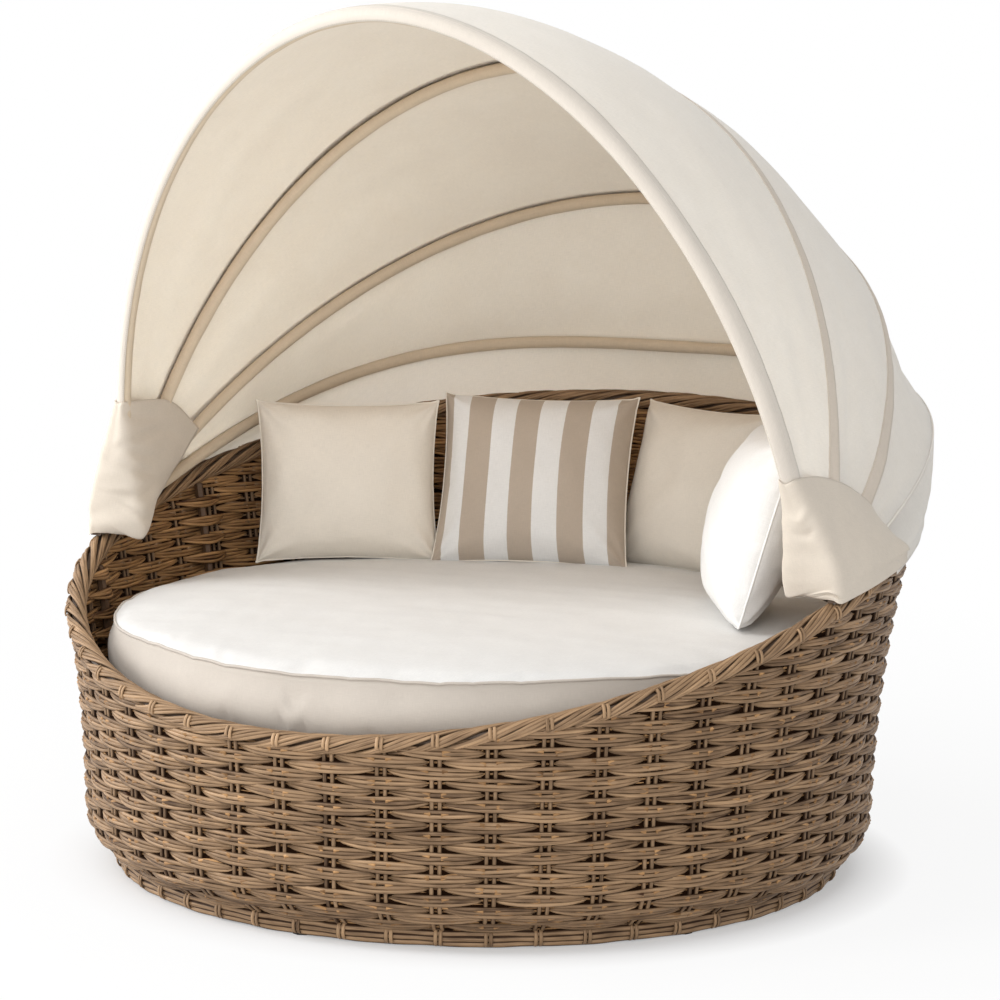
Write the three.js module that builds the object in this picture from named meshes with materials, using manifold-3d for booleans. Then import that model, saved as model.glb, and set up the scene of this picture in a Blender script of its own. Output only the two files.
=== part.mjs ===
// Round outdoor daybed: a sloping wicker basket on a tube frame, a boxed seat cushion, scatter
// cushions, and a canopy of four bows that folds back on a pair of pivots.
// Millimetres. +X is the sitter's left as seen from the front, -Y is the front, +Z is up, and the
// origin is on the floor under the middle of the basket. Angles round the basket start at the front.
import * as THREE from "three";
import { mergeVertices } from "three/addons/utils/BufferGeometryUtils.js";
import Module from "manifold-3d";

const wasm = await Module();
wasm.setup();

// Clearances
const gap = 0.3; // between pieces that rest on each other
const facetGap = 0.8; // the same, where the facets of two curved pieces don't line up
const clothGap = 1.5; // between cloth and the curved piece it lies on
const runningGap = 0.5; // in a bore round its pin

// Basket
const baseRadius = 786; // wall radius low down, above the tucked foot
const rimRadius = 900; // wall radius at the back of the rim
const rimFrontHeight = 397;
const rimBackHeight = 860;
const rimSideLift = 10.8; // how far the rim's sides rise above a flat slanting cut
const wallHollow = 36; // how far the wall draws in half way up
const footTuck = 87; // how far the wall tucks in at the floor
const footTuckHeight = 54;
const wallThickness = 14; // over the weave's bundles and hollows
const weaveRelief = 6.4; // how far the bundles of the weave stand out from the hollows between
const ringSteps = 48;
const levelShares = [0, 0.04, 0.11, 0.21, 0.32, 0.43, 0.54, 0.65, 0.76, 0.88, 1];

// Frame tubes and feet
const frameTubeRadius = 11;
const uprightRadius = 9.5;
const uprightCount = 12;
const uprightSides = 6;
const uprightGap = 2.4; // between an upright and the wall, which slants where it tucks in
const tubeSides = 8;
const baseRingMargin = 1.8; // between the base ring and the wall's inside
const footHeight = 7.7;
const footRadius = 20;
const footCount = 6;
const middleFootRadius = 30;
const middleLegRadius = 15;
const borderDepth = 16; // how far the woven border stands out from the base ring
const borderRise = 4; // the border's upper edge is this far above the ring
const borderOutlineShares = [[0.5, 0.08], [0.85, 0.4]]; // of its depth and height
const seatRingHeight = 319;
const beamSpacing = 370;
const beamWidth = 22;
const deckThickness = 12;
const deckOverhang = 8; // the deck's edge is this far outside the seat ring's centre line

// Rim
const braidRadius = 22;
const braidStandOut = 4; // how far the braid stands out from the wall
const braidOpenShare = 0.14; // half of the share of the braid's circle left open for wall and stakes

// Seat cushion
const seatMargin = 60.6; // between the seat cushion's top seam and the wall's inside
const seatEdgeHeight = 490;
const seatCrown = 24;
const seatBulge = 6;
const seatPiping = 8;
const seatTopShares = [0.93, 0.8, 0.6, 0.35, 0];

// Scatter cushions: width, height and thickness as shares of a square one's side, the middle of
// the bottom as shares of the seat's radius, and last the yaw and lean in degrees
const cushionWidth = 400;
const cushionShares = {
  cushion_left: [0.99, 0.8825, 0.3625, -0.668, 0.452, 31, 13],
  cushion_striped: [1.075, 0.975, 0.3875, -0.173, 0.63, 17, 24],
  cushion_right: [0.9625, 0.925, 0.375, 0.232, 0.807, -17, 17],
  pillow_white: [1.05, 0.98, 0.4125, 0.659, 0.124, -60, 16],
};
const cushionPinchShare = 0.07;
const cushionEdge = 6; // thickness of the piped edge
const cushionSteps = 8;
const cushionDomeShare = 0.55;

// Canopy pivots
const pivotAngle = 81.58; // where the pivots stand on the rim, round from the front, in degrees
const pivotRise = 20.3; // the pivots' height above the rim there
const pinRadius = 5;
const pinSides = 16;
const pinHeadRadius = 9;
const pinHeadLength = 6;
const pinHeadFaceShare = 0.6;
const barrelRadius = 13;
const barrelSpacing = 18;
const washerLength = 1.4;
const nutRadius = 9;
const nutLength = 8;
const bracketThickness = 5;
const bracketHalfWidth = 16;
const bracketFootHalfWidth = 38;
const bracketFootInset = 8; // how far the foot plate reaches inwards from the upright plate
const bracketFootOutset = 10;
const bracketFootThickness = 4;
const screwSpacing = 56;
const screwRadius = 3;
const screwHeadRadius = 5.5;
const screwHeadHeight = 3;
const screwLength = 22;
const screwHeadFaceShare = 0.7;
const screwHeadClearance = 1; // the rim slopes under the foot, and the head stays level

// Bows, from the innermost on the pins out: height above the pivot line, superellipse power, and
// angle up from straight forwards. The rear one stands over the back of the rim instead.
const bowTubeRadius = 8;
const bowSteps = 34;
const frontBow = { index: 0, height: 1089, power: 1.918, angle: 72.6 };
const secondBow = { index: 1, height: 1034, power: 2.017, angle: 113.9 };
const thirdBow = { index: 2, height: 1205, power: 2.195, angle: 147.4 };
const rearBowPower = 3.164;
const rearBowRise = 97; // above the back of the rim
const rearBowOverhang = 24.8; // behind it

// Canopy cloth
const clothThickness = 2;
const clothOffset = 11; // from a bow's centre line to the inside of the cloth
const clothSagShare = 0.022; // how far a panel sinks between its bows, as a share of the height
const panelRows = 4;
const pocketSteps = 3; // how many of the bow's steps the side pockets cover
const skirtDrop = 34; // how far the skirt hangs below the top of the rim
const skirtStraight = 22; // height of the skirt's straight lower hem
const pocketFrontAngle = 75; // where the pocket's front edge meets the rim, round from the front
const pocketFold = 22; // how far the pocket wraps round the front of the front bow
const pocketInset = 31; // from the front bow's place on the pin to the pocket's inner face
const pocketFloorDrop = 20; // from the middle of the pin down to the pocket's floor
const pocketBulge = 10; // how far the pocket stands out over the ends of the pins
const pocketPinShare = 0.15; // the row over the pins, as a share of the way from hem to top
const foldRowShares = [0.5, 0.8, 0.9]; // the rows of the pocket's front fold, from its top
const foldHemShares = [0.5, 1.3]; // out from and up over the rim's middle, of the braid's radius
const innerHemShares = [[-0.5, 1.2], [-0.9, 0.6], [-0.9, 0.6]]; // the same at each bow's column
const skirtBulge = 14; // how far the skirt stands out between the rear bow and the rim
const skirtRowShares = [0.35, 0.7];

const degrees = Math.PI / 180;
const halfTurn = Math.PI;
const fullTurn = 2 * Math.PI;
const quarterTurn = Math.PI / 2;
const half = 0.5;

const barrelLength = barrelSpacing - 2 * gap;
const boreRadius = pinRadius + runningGap;
const baseRingHeight = footHeight + gap + frameTubeRadius;
const borderTop = baseRingHeight + frameTubeRadius + borderRise;
const baseRingRadius = wallRadius(borderTop) - wallThickness - baseRingMargin - frameTubeRadius;
const deckBottom = seatRingHeight + frameTubeRadius + gap;
const deckTop = deckBottom + deckThickness;
const seatBottom = deckTop + gap;
const seatRadius = wallRadius(seatEdgeHeight) - wallThickness - seatMargin;

// The pivots stand on the middle of the rim, and the bows' eyes are counted in from them.
const pivotPlace = around(pivotAngle * degrees, braidCentreRadius(pivotAngle * degrees), 0);
const pivotY = pivotPlace.y;
const pivotHeight = rimHeight(pivotAngle * degrees) + pivotRise;
const bracketX = pivotPlace.x - bracketThickness * half;
const outerBarrelX = bracketX - gap - washerLength - barrelSpacing * half;
const innerBarrelX = outerBarrelX - 3 * barrelSpacing;
const nutX = innerBarrelX - barrelSpacing * half - washerLength - gap;
const rearBow = rearBowPlace();

function bowHalfWidth(bow) {
  return innerBarrelX + bow.index * barrelSpacing;
}

function rearBowPlace() {
  const back = rimRadius + rearBowOverhang - pivotY;
  const up = rimBackHeight + rearBowRise - pivotHeight;
  const angle = (halfTurn - Math.atan2(up, back)) / degrees;
  return { index: 3, height: Math.hypot(back, up), power: rearBowPower, angle };
}

// The wall's outside radius at a height, and the rim's height at an angle round the basket.
function wallRadius(z) {
  const share = z / rimBackHeight;
  const hollow = wallHollow * 4 * share * (1 - share);
  const tuck = footTuck * Math.exp(-((z / footTuckHeight) ** 2));
  return baseRadius + (rimRadius - baseRadius) * share - hollow - tuck;
}

function rimHeight(turn) {
  const middle = (rimFrontHeight + rimBackHeight) * half;
  const swing = (rimBackHeight - rimFrontHeight) * half;
  return middle - swing * Math.cos(turn) + rimSideLift * (1 - Math.cos(2 * turn));
}

function braidCentreHeight(turn) {
  return rimHeight(turn) - braidRadius;
}

function braidCentreRadius(turn) {
  return wallRadius(rimHeight(turn)) + braidStandOut - braidRadius;
}

// A point at a radius and height, at an angle round the basket from the front.
function around(turn, radius, z) {
  return new THREE.Vector3(radius * Math.sin(turn), -radius * Math.cos(turn), z);
}

// A closed body from points and triangles, turned so that its faces point out.
function body(points, triangles) {
  let volume = 0;
  const cross = new THREE.Vector3();
  for (const [a, b, c] of triangles) {
    volume += points[a].dot(cross.crossVectors(points[b], points[c]));
  }
  const facing = volume < 0 ? triangles.map(([a, b, c]) => [a, c, b]) : triangles;
  const geometry = new THREE.BufferGeometry().setFromPoints(points);
  geometry.setIndex(facing.flat());
  geometry.computeVertexNormals();
  return geometry;
}

// A body through rings of points: an endless one joins its last ring to its first, and any other
// has flat ends.
function loft(rings, endless) {
  const count = rings[0].length;
  const triangles = [];
  const spans = endless ? rings.length : rings.length - 1;
  for (let i = 0; i < spans; i += 1) {
    const next = ((i + 1) % rings.length) * count;
    for (let k = 0; k < count; k += 1) {
      const a = i * count + k;
      const b = i * count + ((k + 1) % count);
      const c = next + ((k + 1) % count);
      const d = next + k;
      triangles.push([a, b, c], [a, c, d]);
    }
  }
  if (!endless) {
    const last = (rings.length - 1) * count;
    for (let k = 1; k < count - 1; k += 1) {
      triangles.push([0, k + 1, k], [last, last + k, last + k + 1]);
    }
  }
  return body(rings.flat(), triangles);
}

// A sheet with two faces given as grids of points, closed round its edge.
function sheet(front, back) {
  const rows = front.length;
  const columns = front[0].length;
  const points = [...front.flat(), ...back.flat()];
  const behind = rows * columns;
  const triangles = [];
  const quad = (a, b, c, d) => triangles.push([a, b, c], [a, c, d]);
  for (let i = 0; i < rows - 1; i += 1) {
    for (let k = 0; k < columns - 1; k += 1) {
      const a = i * columns + k;
      const d = a + columns;
      quad(a, a + 1, d + 1, d);
      quad(behind + a, behind + d, behind + d + 1, behind + a + 1);
    }
  }
  const edge = [];
  for (let k = 0; k < columns; k += 1) edge.push(k);
  for (let i = 1; i < rows; i += 1) edge.push(i * columns + columns - 1);
  for (let k = columns - 2; k >= 0; k -= 1) edge.push((rows - 1) * columns + k);
  for (let i = rows - 2; i > 0; i -= 1) edge.push(i * columns);
  edge.forEach((a, i) => {
    const b = edge[(i + 1) % edge.length];
    quad(b, a, behind + a, behind + b);
  });
  return body(points, triangles);
}

// A second grid at a distance inside the first, along the surface's own normals.
function inside(grid, distance, outwards) {
  const rows = grid.length;
  const columns = grid[0].length;
  return grid.map((row, i) =>
    row.map((point, k) => {
      const down = grid[Math.min(i + 1, rows - 1)][k].clone().sub(grid[Math.max(i - 1, 0)][k]);
      const across = row[Math.min(k + 1, columns - 1)].clone().sub(row[Math.max(k - 1, 0)]);
      const normal = across.cross(down).normalize();
      return point.clone().addScaledVector(normal, -distance * outwards);
    }),
  );
}

// A ring round the basket whose section, a list of [radius, height], may change with the angle.
function basketRing(sectionAt) {
  const rings = [];
  for (let i = 0; i < ringSteps; i += 1) {
    const turn = (i / ringSteps) * fullTurn;
    rings.push(sectionAt(turn).map(([radius, z]) => around(turn, radius, z)));
  }
  return loft(rings, true);
}

// The points of a circle or an arc, as [across, up] from its centre.
function arc(radius, sides, from, to) {
  const points = [];
  for (let i = 0; i <= sides; i += 1) {
    const turn = from + (to - from) * (i / sides);
    points.push([radius * Math.cos(turn), radius * Math.sin(turn)]);
  }
  return points;
}

const circle = (radius, sides) => arc(radius, sides, 0, fullTurn).slice(0, sides);

function tubeRing(radiusAt, heightAt, tubeRadius) {
  const section = circle(tubeRadius, tubeSides);
  return basketRing((turn) => section.map(([x, z]) => [radiusAt(turn) + x, heightAt(turn) + z]));
}

// Joins and cuts
function solid(geometry) {
  const bare = geometry.clone();
  bare.deleteAttribute("normal");
  bare.deleteAttribute("uv");
  const merged = mergeVertices(bare);
  const vertProperties = merged.attributes.position.array;
  const triVerts = new Uint32Array(merged.index.array);
  return new wasm.Manifold(new wasm.Mesh({ numProp: 3, vertProperties, triVerts }));
}

function geometryOf(made) {
  const mesh = made.getMesh();
  const geometry = new THREE.BufferGeometry();
  geometry.setAttribute("position", new THREE.BufferAttribute(mesh.vertProperties, 3));
  geometry.setIndex(new THREE.BufferAttribute(mesh.triVerts, 1));
  geometry.computeVertexNormals();
  return geometry;
}

function joined(geometries, cuts = []) {
  let made = solid(geometries[0]);
  for (const other of geometries.slice(1)) made = made.add(solid(other));
  for (const cut of cuts) made = made.subtract(solid(cut));
  return geometryOf(made);
}

// A round bar or a bored one, along X, from one x to another at the pivot line.
function turned(fromX, toX, outer, bore, sides = pinSides) {
  const length = toX - fromX;
  const profile = bore
    ? [[bore, 0], [outer, 0], [outer, length], [bore, length], [bore, 0]]
    : [[0, 0], [outer, 0], [outer, length], [0, length]];
  const geometry = new THREE.LatheGeometry(profile.map(([r, y]) => new THREE.Vector2(r, y)), sides);
  return geometry.rotateZ(-quarterTurn).translate(fromX, 0, 0);
}

// The basket. The woven wall stands out and draws back by turns, round it and up it, and its
// inside follows its outside. Its two edges are plain.
function wallSection(turn) {
  const top = rimHeight(turn) - braidRadius - frameTubeRadius - gap;
  const heights = levelShares.map((share) => borderTop + gap + (top - borderTop - gap) * share);
  const column = Math.round((turn / fullTurn) * ringSteps);
  const drawn = (row) => {
    if (row === 0 || row === heights.length - 1) return [0, 0];
    return (column + row) % 2 ? [weaveRelief, 0] : [0, weaveRelief];
  };
  const outside = heights.map((z, row) => [wallRadius(z) - drawn(row)[0], z]);
  const within = heights.map((z, row) => [wallRadius(z) - wallThickness + drawn(row)[1], z]);
  return [...outside, ...within.reverse()];
}

function borderSection() {
  const nearest = baseRingRadius + frameTubeRadius + gap;
  const low = baseRingHeight - frameTubeRadius;
  const rise = borderTop - low;
  const bend = borderOutlineShares.map(([out, up]) => [nearest + borderDepth * out, low + rise * up]);
  return [[nearest, low], ...bend, [nearest + borderDepth, borderTop], [nearest, borderTop]];
}

function braidSection(turn) {
  const open = braidOpenShare * halfTurn;
  const outside = arc(braidRadius, 6, -open, halfTurn + open);
  const within = arc(frameTubeRadius + gap, tubeSides * half, halfTurn, 0);
  within.unshift(arc(frameTubeRadius + gap, 1, halfTurn + open, 0)[0]);
  within.push(arc(frameTubeRadius + gap, 1, -open, 0)[0]);
  const radius = braidCentreRadius(turn);
  const z = braidCentreHeight(turn);
  return [...outside, ...within].map(([x, up]) => [radius + x, z + up]);
}

// How far out an upright stands at a height, touching the inside of the wall.
const uprightPlace = (z) => wallRadius(z) - wallThickness - uprightGap - uprightRadius;

function uprightGeometry(turn) {
  const reach = frameTubeRadius + gap;
  const slope = (rimBackHeight - rimFrontHeight) * half * (uprightRadius / rimRadius);
  const low = baseRingHeight + reach;
  const top = braidCentreHeight(turn) - reach - slope;
  const upwards = new THREE.Vector3(0, 0, 1);
  const section = circle(uprightRadius, uprightSides).map(([x, y]) => {
    return new THREE.Vector3(x, y, 0).applyAxisAngle(upwards, turn + quarterTurn);
  });
  const levels = levelShares.map((share) => low + (top - low) * share);
  levels.push(seatRingHeight);
  const rings = levels.sort((a, b) => a - b).map((z) => {
    const centre = around(turn, uprightPlace(z), z);
    return section.map((point) => point.clone().add(centre));
  });
  return loft(rings, false);
}

function seatRingRadius() {
  return uprightPlace(seatRingHeight) - uprightRadius - gap - frameTubeRadius;
}

function beamLength(x) {
  const within = (seatRingRadius() - frameTubeRadius) * Math.cos(halfTurn / ringSteps) - gap;
  const corner = Math.abs(x) + beamWidth * half;
  return 2 * Math.sqrt(within ** 2 - corner ** 2);
}

// Cushions
function seatTop(radius) {
  const share = Math.min(radius / seatRadius, 1);
  return seatEdgeHeight + seatCrown * (1 - share ** 4);
}

// The height of the seat's facets at a radius, which lie a little under its crown.
function seatFacet(radius) {
  const share = Math.min(radius / seatRadius, 1);
  const shares = [1, ...seatTopShares];
  const i = Math.min(shares.findIndex((next) => next <= share), shares.length - 1) || 1;
  const along = (share - shares[i]) / (shares[i - 1] - shares[i]);
  const low = seatTop(seatRadius * shares[i]);
  return low + (seatTop(seatRadius * shares[i - 1]) - low) * along;
}

function seatCushionGeometry() {
  const middle = (seatBottom + seatEdgeHeight) * half;
  const profile = [
    [0, seatBottom],
    [seatRadius - seatPiping, seatBottom],
    [seatRadius, seatBottom + seatPiping],
    [seatRadius + seatBulge, middle],
    [seatRadius, seatEdgeHeight - seatPiping],
    [seatRadius - seatPiping * half, seatTop(seatRadius)],
  ];
  for (const share of seatTopShares) {
    profile.push([seatRadius * share, seatTop(seatRadius * share)]);
  }
  const points = profile.map(([radius, z]) => new THREE.Vector2(radius, z));
  return new THREE.LatheGeometry(points, ringSteps).rotateX(quarterTurn);
}

// A crowned cushion with pointed corners, standing on its lower edge in the XZ plane.
function cushionGeometry(width, height, thickness) {
  const front = [];
  const back = [];
  for (let i = 0; i <= cushionSteps; i += 1) {
    const v = (2 * i) / cushionSteps - 1;
    const frontRow = [];
    const backRow = [];
    for (let k = 0; k <= cushionSteps; k += 1) {
      const u = (2 * k) / cushionSteps - 1;
      const x = width * half * u * (1 - cushionPinchShare * (1 - v * v));
      const z = height * half * (1 + v * (1 - cushionPinchShare * (1 - u * u)));
      const dome = ((1 - u * u) * (1 - v * v)) ** cushionDomeShare;
      const y = cushionEdge * half + (thickness - cushionEdge) * half * dome;
      frontRow.push(new THREE.Vector3(x, -y, z));
      backRow.push(new THREE.Vector3(x, y, z));
    }
    front.push(frontRow);
    back.push(backRow);
  }
  return sheet(front, back);
}

// Turns, leans and sets a cushion on the seat's crown.
function placedCushion([width, height, thickness, x, y, yaw, lean]) {
  const sizes = [width, height, thickness].map((share) => share * cushionWidth);
  const geometry = cushionGeometry(...sizes).rotateX(-lean * degrees).rotateZ(yaw * degrees);
  geometry.translate(x * seatRadius, y * seatRadius, seatEdgeHeight);
  const points = geometry.attributes.position;
  let lift = -seatCrown;
  for (let i = 0; i < points.count; i += 1) {
    const radius = Math.hypot(points.getX(i), points.getY(i));
    lift = Math.max(lift, seatFacet(radius) + gap - points.getZ(i));
  }
  return geometry.translate(0, 0, lift);
}

// Bows: a curve in the bow's own plane, x across and y away from the pivot line.
function bowCurve(bow) {
  const width = bowHalfWidth(bow);
  const start = pinRadius + (barrelRadius - pinRadius) * half;
  const first = Math.asin((start / bow.height) ** (bow.power * half));
  const points = [];
  for (let i = 0; i <= bowSteps; i += 1) {
    const turn = first + (halfTurn - 2 * first) * (i / bowSteps);
    const across = Math.cos(turn);
    const x = width * Math.sign(across) * Math.abs(across) ** (2 / bow.power);
    const y = bow.height * Math.sin(turn) ** (2 / bow.power);
    points.push(new THREE.Vector3(x, y, 0));
  }
  return new THREE.CatmullRomCurve3(points);
}

const curves = new Map([frontBow, secondBow, thirdBow, rearBow].map((bow) => [bow, bowCurve(bow)]));

// A place on a bow at a share of its length, pushed out of the arch by a distance.
function bowPlace(bow, share, distance) {
  const point = curves.get(bow).getPointAt(share);
  const along = curves.get(bow).getTangentAt(share);
  const outward = new THREE.Vector3(along.y, -along.x, 0).normalize();
  return point.addScaledVector(outward, distance);
}

function bowGeometry(bow) {
  const rings = [];
  for (let i = 0; i <= bowSteps; i += 1) {
    const share = i / bowSteps;
    const along = curves.get(bow).getTangentAt(share);
    const outward = new THREE.Vector3(along.y, -along.x, 0).normalize();
    const centre = curves.get(bow).getPointAt(share);
    const section = circle(bowTubeRadius, tubeSides).map(([a, b]) => {
      const turn = halfTurn / tubeSides;
      const across = a * Math.cos(turn) - b * Math.sin(turn);
      const up = a * Math.sin(turn) + b * Math.cos(turn);
      return centre.clone().addScaledVector(outward, across).add(new THREE.Vector3(0, 0, up));
    });
    rings.push(section);
  }
  const x = bowHalfWidth(bow);
  const reach = barrelLength * half;
  const barrels = [-x, x].map((at) => turned(at - reach, at + reach, barrelRadius, 0));
  const bores = [-x, x].map((at) => turned(at - barrelLength, at + barrelLength, boreRadius, 0));
  return joined([loft(rings, false), ...barrels], bores);
}

// The turn about X that sets a bow's own plane at its angle, and the same for any point.
const bowTurn = (angle) => halfTurn - angle * degrees;

function atAngle(point, angle) {
  const turn = bowTurn(angle);
  const y = pivotY + point.y * Math.cos(turn);
  const z = pivotHeight + point.y * Math.sin(turn);
  return new THREE.Vector3(point.x, y, z);
}

// The canopy's surface between two bows: share runs along them and v from the one to the other.
function canopyPoint(a, b, share, v, distance) {
  const from = bowPlace(a, share, distance);
  const to = bowPlace(b, share, distance);
  const flat = from.lerp(to, v);
  flat.multiplyScalar(1 - clothSagShare * 4 * v * (1 - v) * Math.sin(share * halfTurn));
  return atAngle(flat, a.angle + (b.angle - a.angle) * v);
}

// Moves a grid's first and last rows together by half a seam.
function trimmed(grid) {
  const last = grid.length - 1;
  return grid.map((row, i) =>
    row.map((point, k) => {
      if (i > 0 && i < last) return point;
      const other = grid[i === 0 ? 1 : last - 1][k];
      const way = other.clone().sub(point).normalize();
      return point.clone().addScaledVector(way, gap);
    }),
  );
}

function panelGrid(a, b, distance) {
  const grid = [];
  for (let j = 0; j <= panelRows; j += 1) {
    const row = [];
    for (let i = pocketSteps; i <= bowSteps - pocketSteps; i += 1) {
      row.push(canopyPoint(a, b, i / bowSteps, j / panelRows, distance));
    }
    grid.push(row);
  }
  return trimmed(grid);
}

function panelGeometry(a, b) {
  return sheet(panelGrid(a, b, clothOffset + clothThickness), panelGrid(a, b, clothOffset));
}

// The skirt from the rear bow down over the outside of the rim.
function skirtGrid(distance) {
  const bow = atRearBow(distance);
  const hem = bow.map((point) => skirtHem(point, distance, skirtDrop));
  const top = bow.map((point) => skirtHem(point, distance, skirtDrop - skirtStraight));
  const grid = [bow];
  for (const share of skirtRowShares) {
    const bulge = skirtBulge * 4 * share * (1 - share);
    grid.push(bow.map((point, i) => outwards(point.clone().lerp(top[i], share), bulge)));
  }
  grid.push(top, hem);
  return trimmed(grid);
}

function outwards(point, distance) {
  const reach = 1 + distance / Math.hypot(point.x, point.y);
  return new THREE.Vector3(point.x * reach, point.y * reach, point.z);
}

function atRearBow(distance) {
  const row = [];
  for (let i = pocketSteps; i <= bowSteps - pocketSteps; i += 1) {
    row.push(atAngle(bowPlace(rearBow, i / bowSteps, distance), rearBow.angle));
  }
  return row;
}

function skirtHem(point, distance, drop) {
  const turn = Math.atan2(point.x, -point.y);
  const radius = braidCentreRadius(turn) + braidRadius + clothGap + distance - clothOffset;
  return around(turn, radius, rimHeight(turn) - drop);
}

function skirtGeometry() {
  return sheet(skirtGrid(clothOffset + clothThickness), skirtGrid(clothOffset));
}

// A side pocket: one sheet that runs forwards outside the bows' lower ends, turns round the
// front bow and runs back inside them. Each column is a line of points from the top to the rim.
function pocketGeometry(side) {
  const seam = gap / frontBow.height;
  const share = side > 0 ? pocketSteps / bowSteps - seam : 1 - pocketSteps / bowSteps + seam;
  const out = clothOffset + clothThickness;
  const front = pocketFrontAngle * degrees;
  const end = atAngle(bowPlace(rearBow, share, out), rearBow.angle);
  const rear = Math.atan2(Math.abs(end.x), -end.y);
  const turnAt = (place) => side * (rear + (front - rear) * place);
  const bows = [rearBow, thirdBow, secondBow, frontBow];
  const columns = [];
  for (let i = 0; i <= 6; i += 1) {
    const a = bows[Math.floor(i * half)];
    const b = bows[Math.ceil(i * half)];
    const top = canopyPoint(b, a, share, a === b ? 0 : half, out);
    columns.push(outerColumn(top, side, turnAt(i / 6), skirtDrop * (1 - i / 6)));
  }
  const ahead = pocketFold / curves.get(frontBow).getPointAt(share).y / degrees;
  const edge = atAngle(bowPlace(frontBow, share, 0), frontBow.angle - ahead);
  columns.push(foldColumn(edge, turnAt(1 + pocketFold / rimRadius)));
  for (const bow of [frontBow, secondBow, thirdBow]) {
    const top = atAngle(bowPlace(bow, share, -out), bow.angle);
    columns.push(innerColumn(top, side, turnAt(1 - bow.index / 3), bow.index));
  }
  const grid = columns[0].map((unused, row) => columns.map((column) => column[row]));
  return sheet(grid, inside(grid, clothThickness, side));
}

// A place over or beside the rim braid, measured from the middle of the braid.
function rimPlace(turn, out, up) {
  return around(turn, braidCentreRadius(turn) + out, braidCentreHeight(turn) + up);
}

function outerColumn(top, side, turn, drop) {
  const out = braidRadius + clothGap + clothThickness;
  const hem = rimPlace(turn, out, braidRadius - drop);
  const low = rimPlace(turn, out, braidRadius + skirtStraight - drop);
  const middle = top.clone().lerp(low, half);
  const overPin = low.clone().lerp(top, pocketPinShare);
  middle.x += side * pocketBulge;
  overPin.x += side * pocketBulge;
  return [top, middle, overPin, low, hem];
}

function foldColumn(top, turn) {
  const [out, up] = foldHemShares;
  const hem = rimPlace(turn, braidRadius * out, braidRadius * up);
  return [top, ...foldRowShares.map((share) => top.clone().lerp(hem, share)), hem];
}

function innerColumn(top, side, turn, place) {
  const [out, up] = innerHemShares[place];
  const hem = rimPlace(turn, braidRadius * out, braidRadius * up);
  const behindNut = place < thirdBow.index;
  const x = (behindNut ? innerBarrelX : bowHalfWidth(thirdBow)) - pocketInset;
  const underPin = behindNut ? pivotHeight - pocketFloorDrop : hem.z + barrelRadius;
  const floor = new THREE.Vector3(side * x, hem.y, Math.min(underPin, hem.z + barrelRadius));
  return [top, top.clone().lerp(floor, half), floor, floor.clone().lerp(hem, half), hem];
}

// Pivot hardware
function bracketGeometry(side) {
  const turn = Math.atan2(bracketX, -pivotY);
  const rest = rimHeight(turn) + facetGap;
  const rise = rimHeight(turn + degrees) - rimHeight(turn);
  const slope = rise / (degrees * braidCentreRadius(turn));
  const pivot = pivotHeight - rest;
  const foot = new THREE.Shape();
  foot.moveTo(-bracketFootHalfWidth, -bracketFootHalfWidth * slope);
  foot.lineTo(bracketFootHalfWidth, bracketFootHalfWidth * slope);
  foot.lineTo(bracketFootHalfWidth, bracketFootHalfWidth * slope + bracketFootThickness);
  foot.lineTo(-bracketFootHalfWidth, -bracketFootHalfWidth * slope + bracketFootThickness);
  const plate = new THREE.Shape();
  plate.moveTo(-bracketHalfWidth, -bracketHalfWidth * slope);
  plate.lineTo(bracketHalfWidth, bracketHalfWidth * slope);
  plate.lineTo(bracketHalfWidth, pivot);
  plate.absarc(0, pivot, bracketHalfWidth, 0, halfTurn);
  const alongX = (shape, from, depth) => {
    const settings = { depth, bevelEnabled: false, curveSegments: 8 };
    const geometry = new THREE.ExtrudeGeometry(shape, settings);
    return geometry.rotateX(quarterTurn).rotateZ(quarterTurn).translate(from, pivotY, rest);
  };
  const footDepth = bracketFootInset + bracketThickness + bracketFootOutset;
  const pieces = [
    alongX(plate, bracketX, bracketThickness),
    alongX(foot, bracketX - bracketFootInset, footDepth),
  ];
  const bore = turned(bracketX - bracketThickness, bracketX + 2 * bracketThickness, boreRadius, 0);
  const holes = screwPlaces().map((place) => hole(place));
  const geometry = joined(pieces, [bore.translate(0, pivotY, pivotHeight), ...holes]);
  return side > 0 ? geometry : mirrored(geometry);
}

// The same piece on the other side.
function mirrored(geometry) {
  const other = geometry.clone().scale(-1, 1, 1);
  const order = other.index.array;
  for (let i = 0; i < order.length; i += 3) {
    [order[i + 1], order[i + 2]] = [order[i + 2], order[i + 1]];
  }
  other.computeVertexNormals();
  return other;
}

// Where the bracket's two screws go down through its foot into the rim, on the +X side.
function screwPlaces() {
  return [-half, half].map((share) => {
    const y = pivotY + share * screwSpacing;
    const x = bracketX + bracketThickness * half;
    const z = rimHeight(Math.atan2(x, -y)) + facetGap + bracketFootThickness;
    return new THREE.Vector3(x, y, z);
  });
}

function standing(profile, place) {
  const points = profile.map(([radius, z]) => new THREE.Vector2(radius, z));
  const geometry = new THREE.LatheGeometry(points, tubeSides).rotateX(quarterTurn);
  return geometry.translate(place.x, place.y, place.z);
}

function hole(place) {
  const radius = screwRadius + runningGap;
  const depth = screwLength + screwHeadHeight;
  return standing([[0, -depth], [radius, -depth], [radius, depth], [0, depth]], place);
}

function screw(place) {
  const under = facetGap + screwHeadClearance;
  return standing([
    [0, -screwLength],
    [screwRadius, -screwLength],
    [screwRadius, under],
    [screwHeadRadius, under],
    [screwHeadRadius * screwHeadFaceShare, under + screwHeadHeight],
    [0, under + screwHeadHeight],
  ], place);
}

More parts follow.
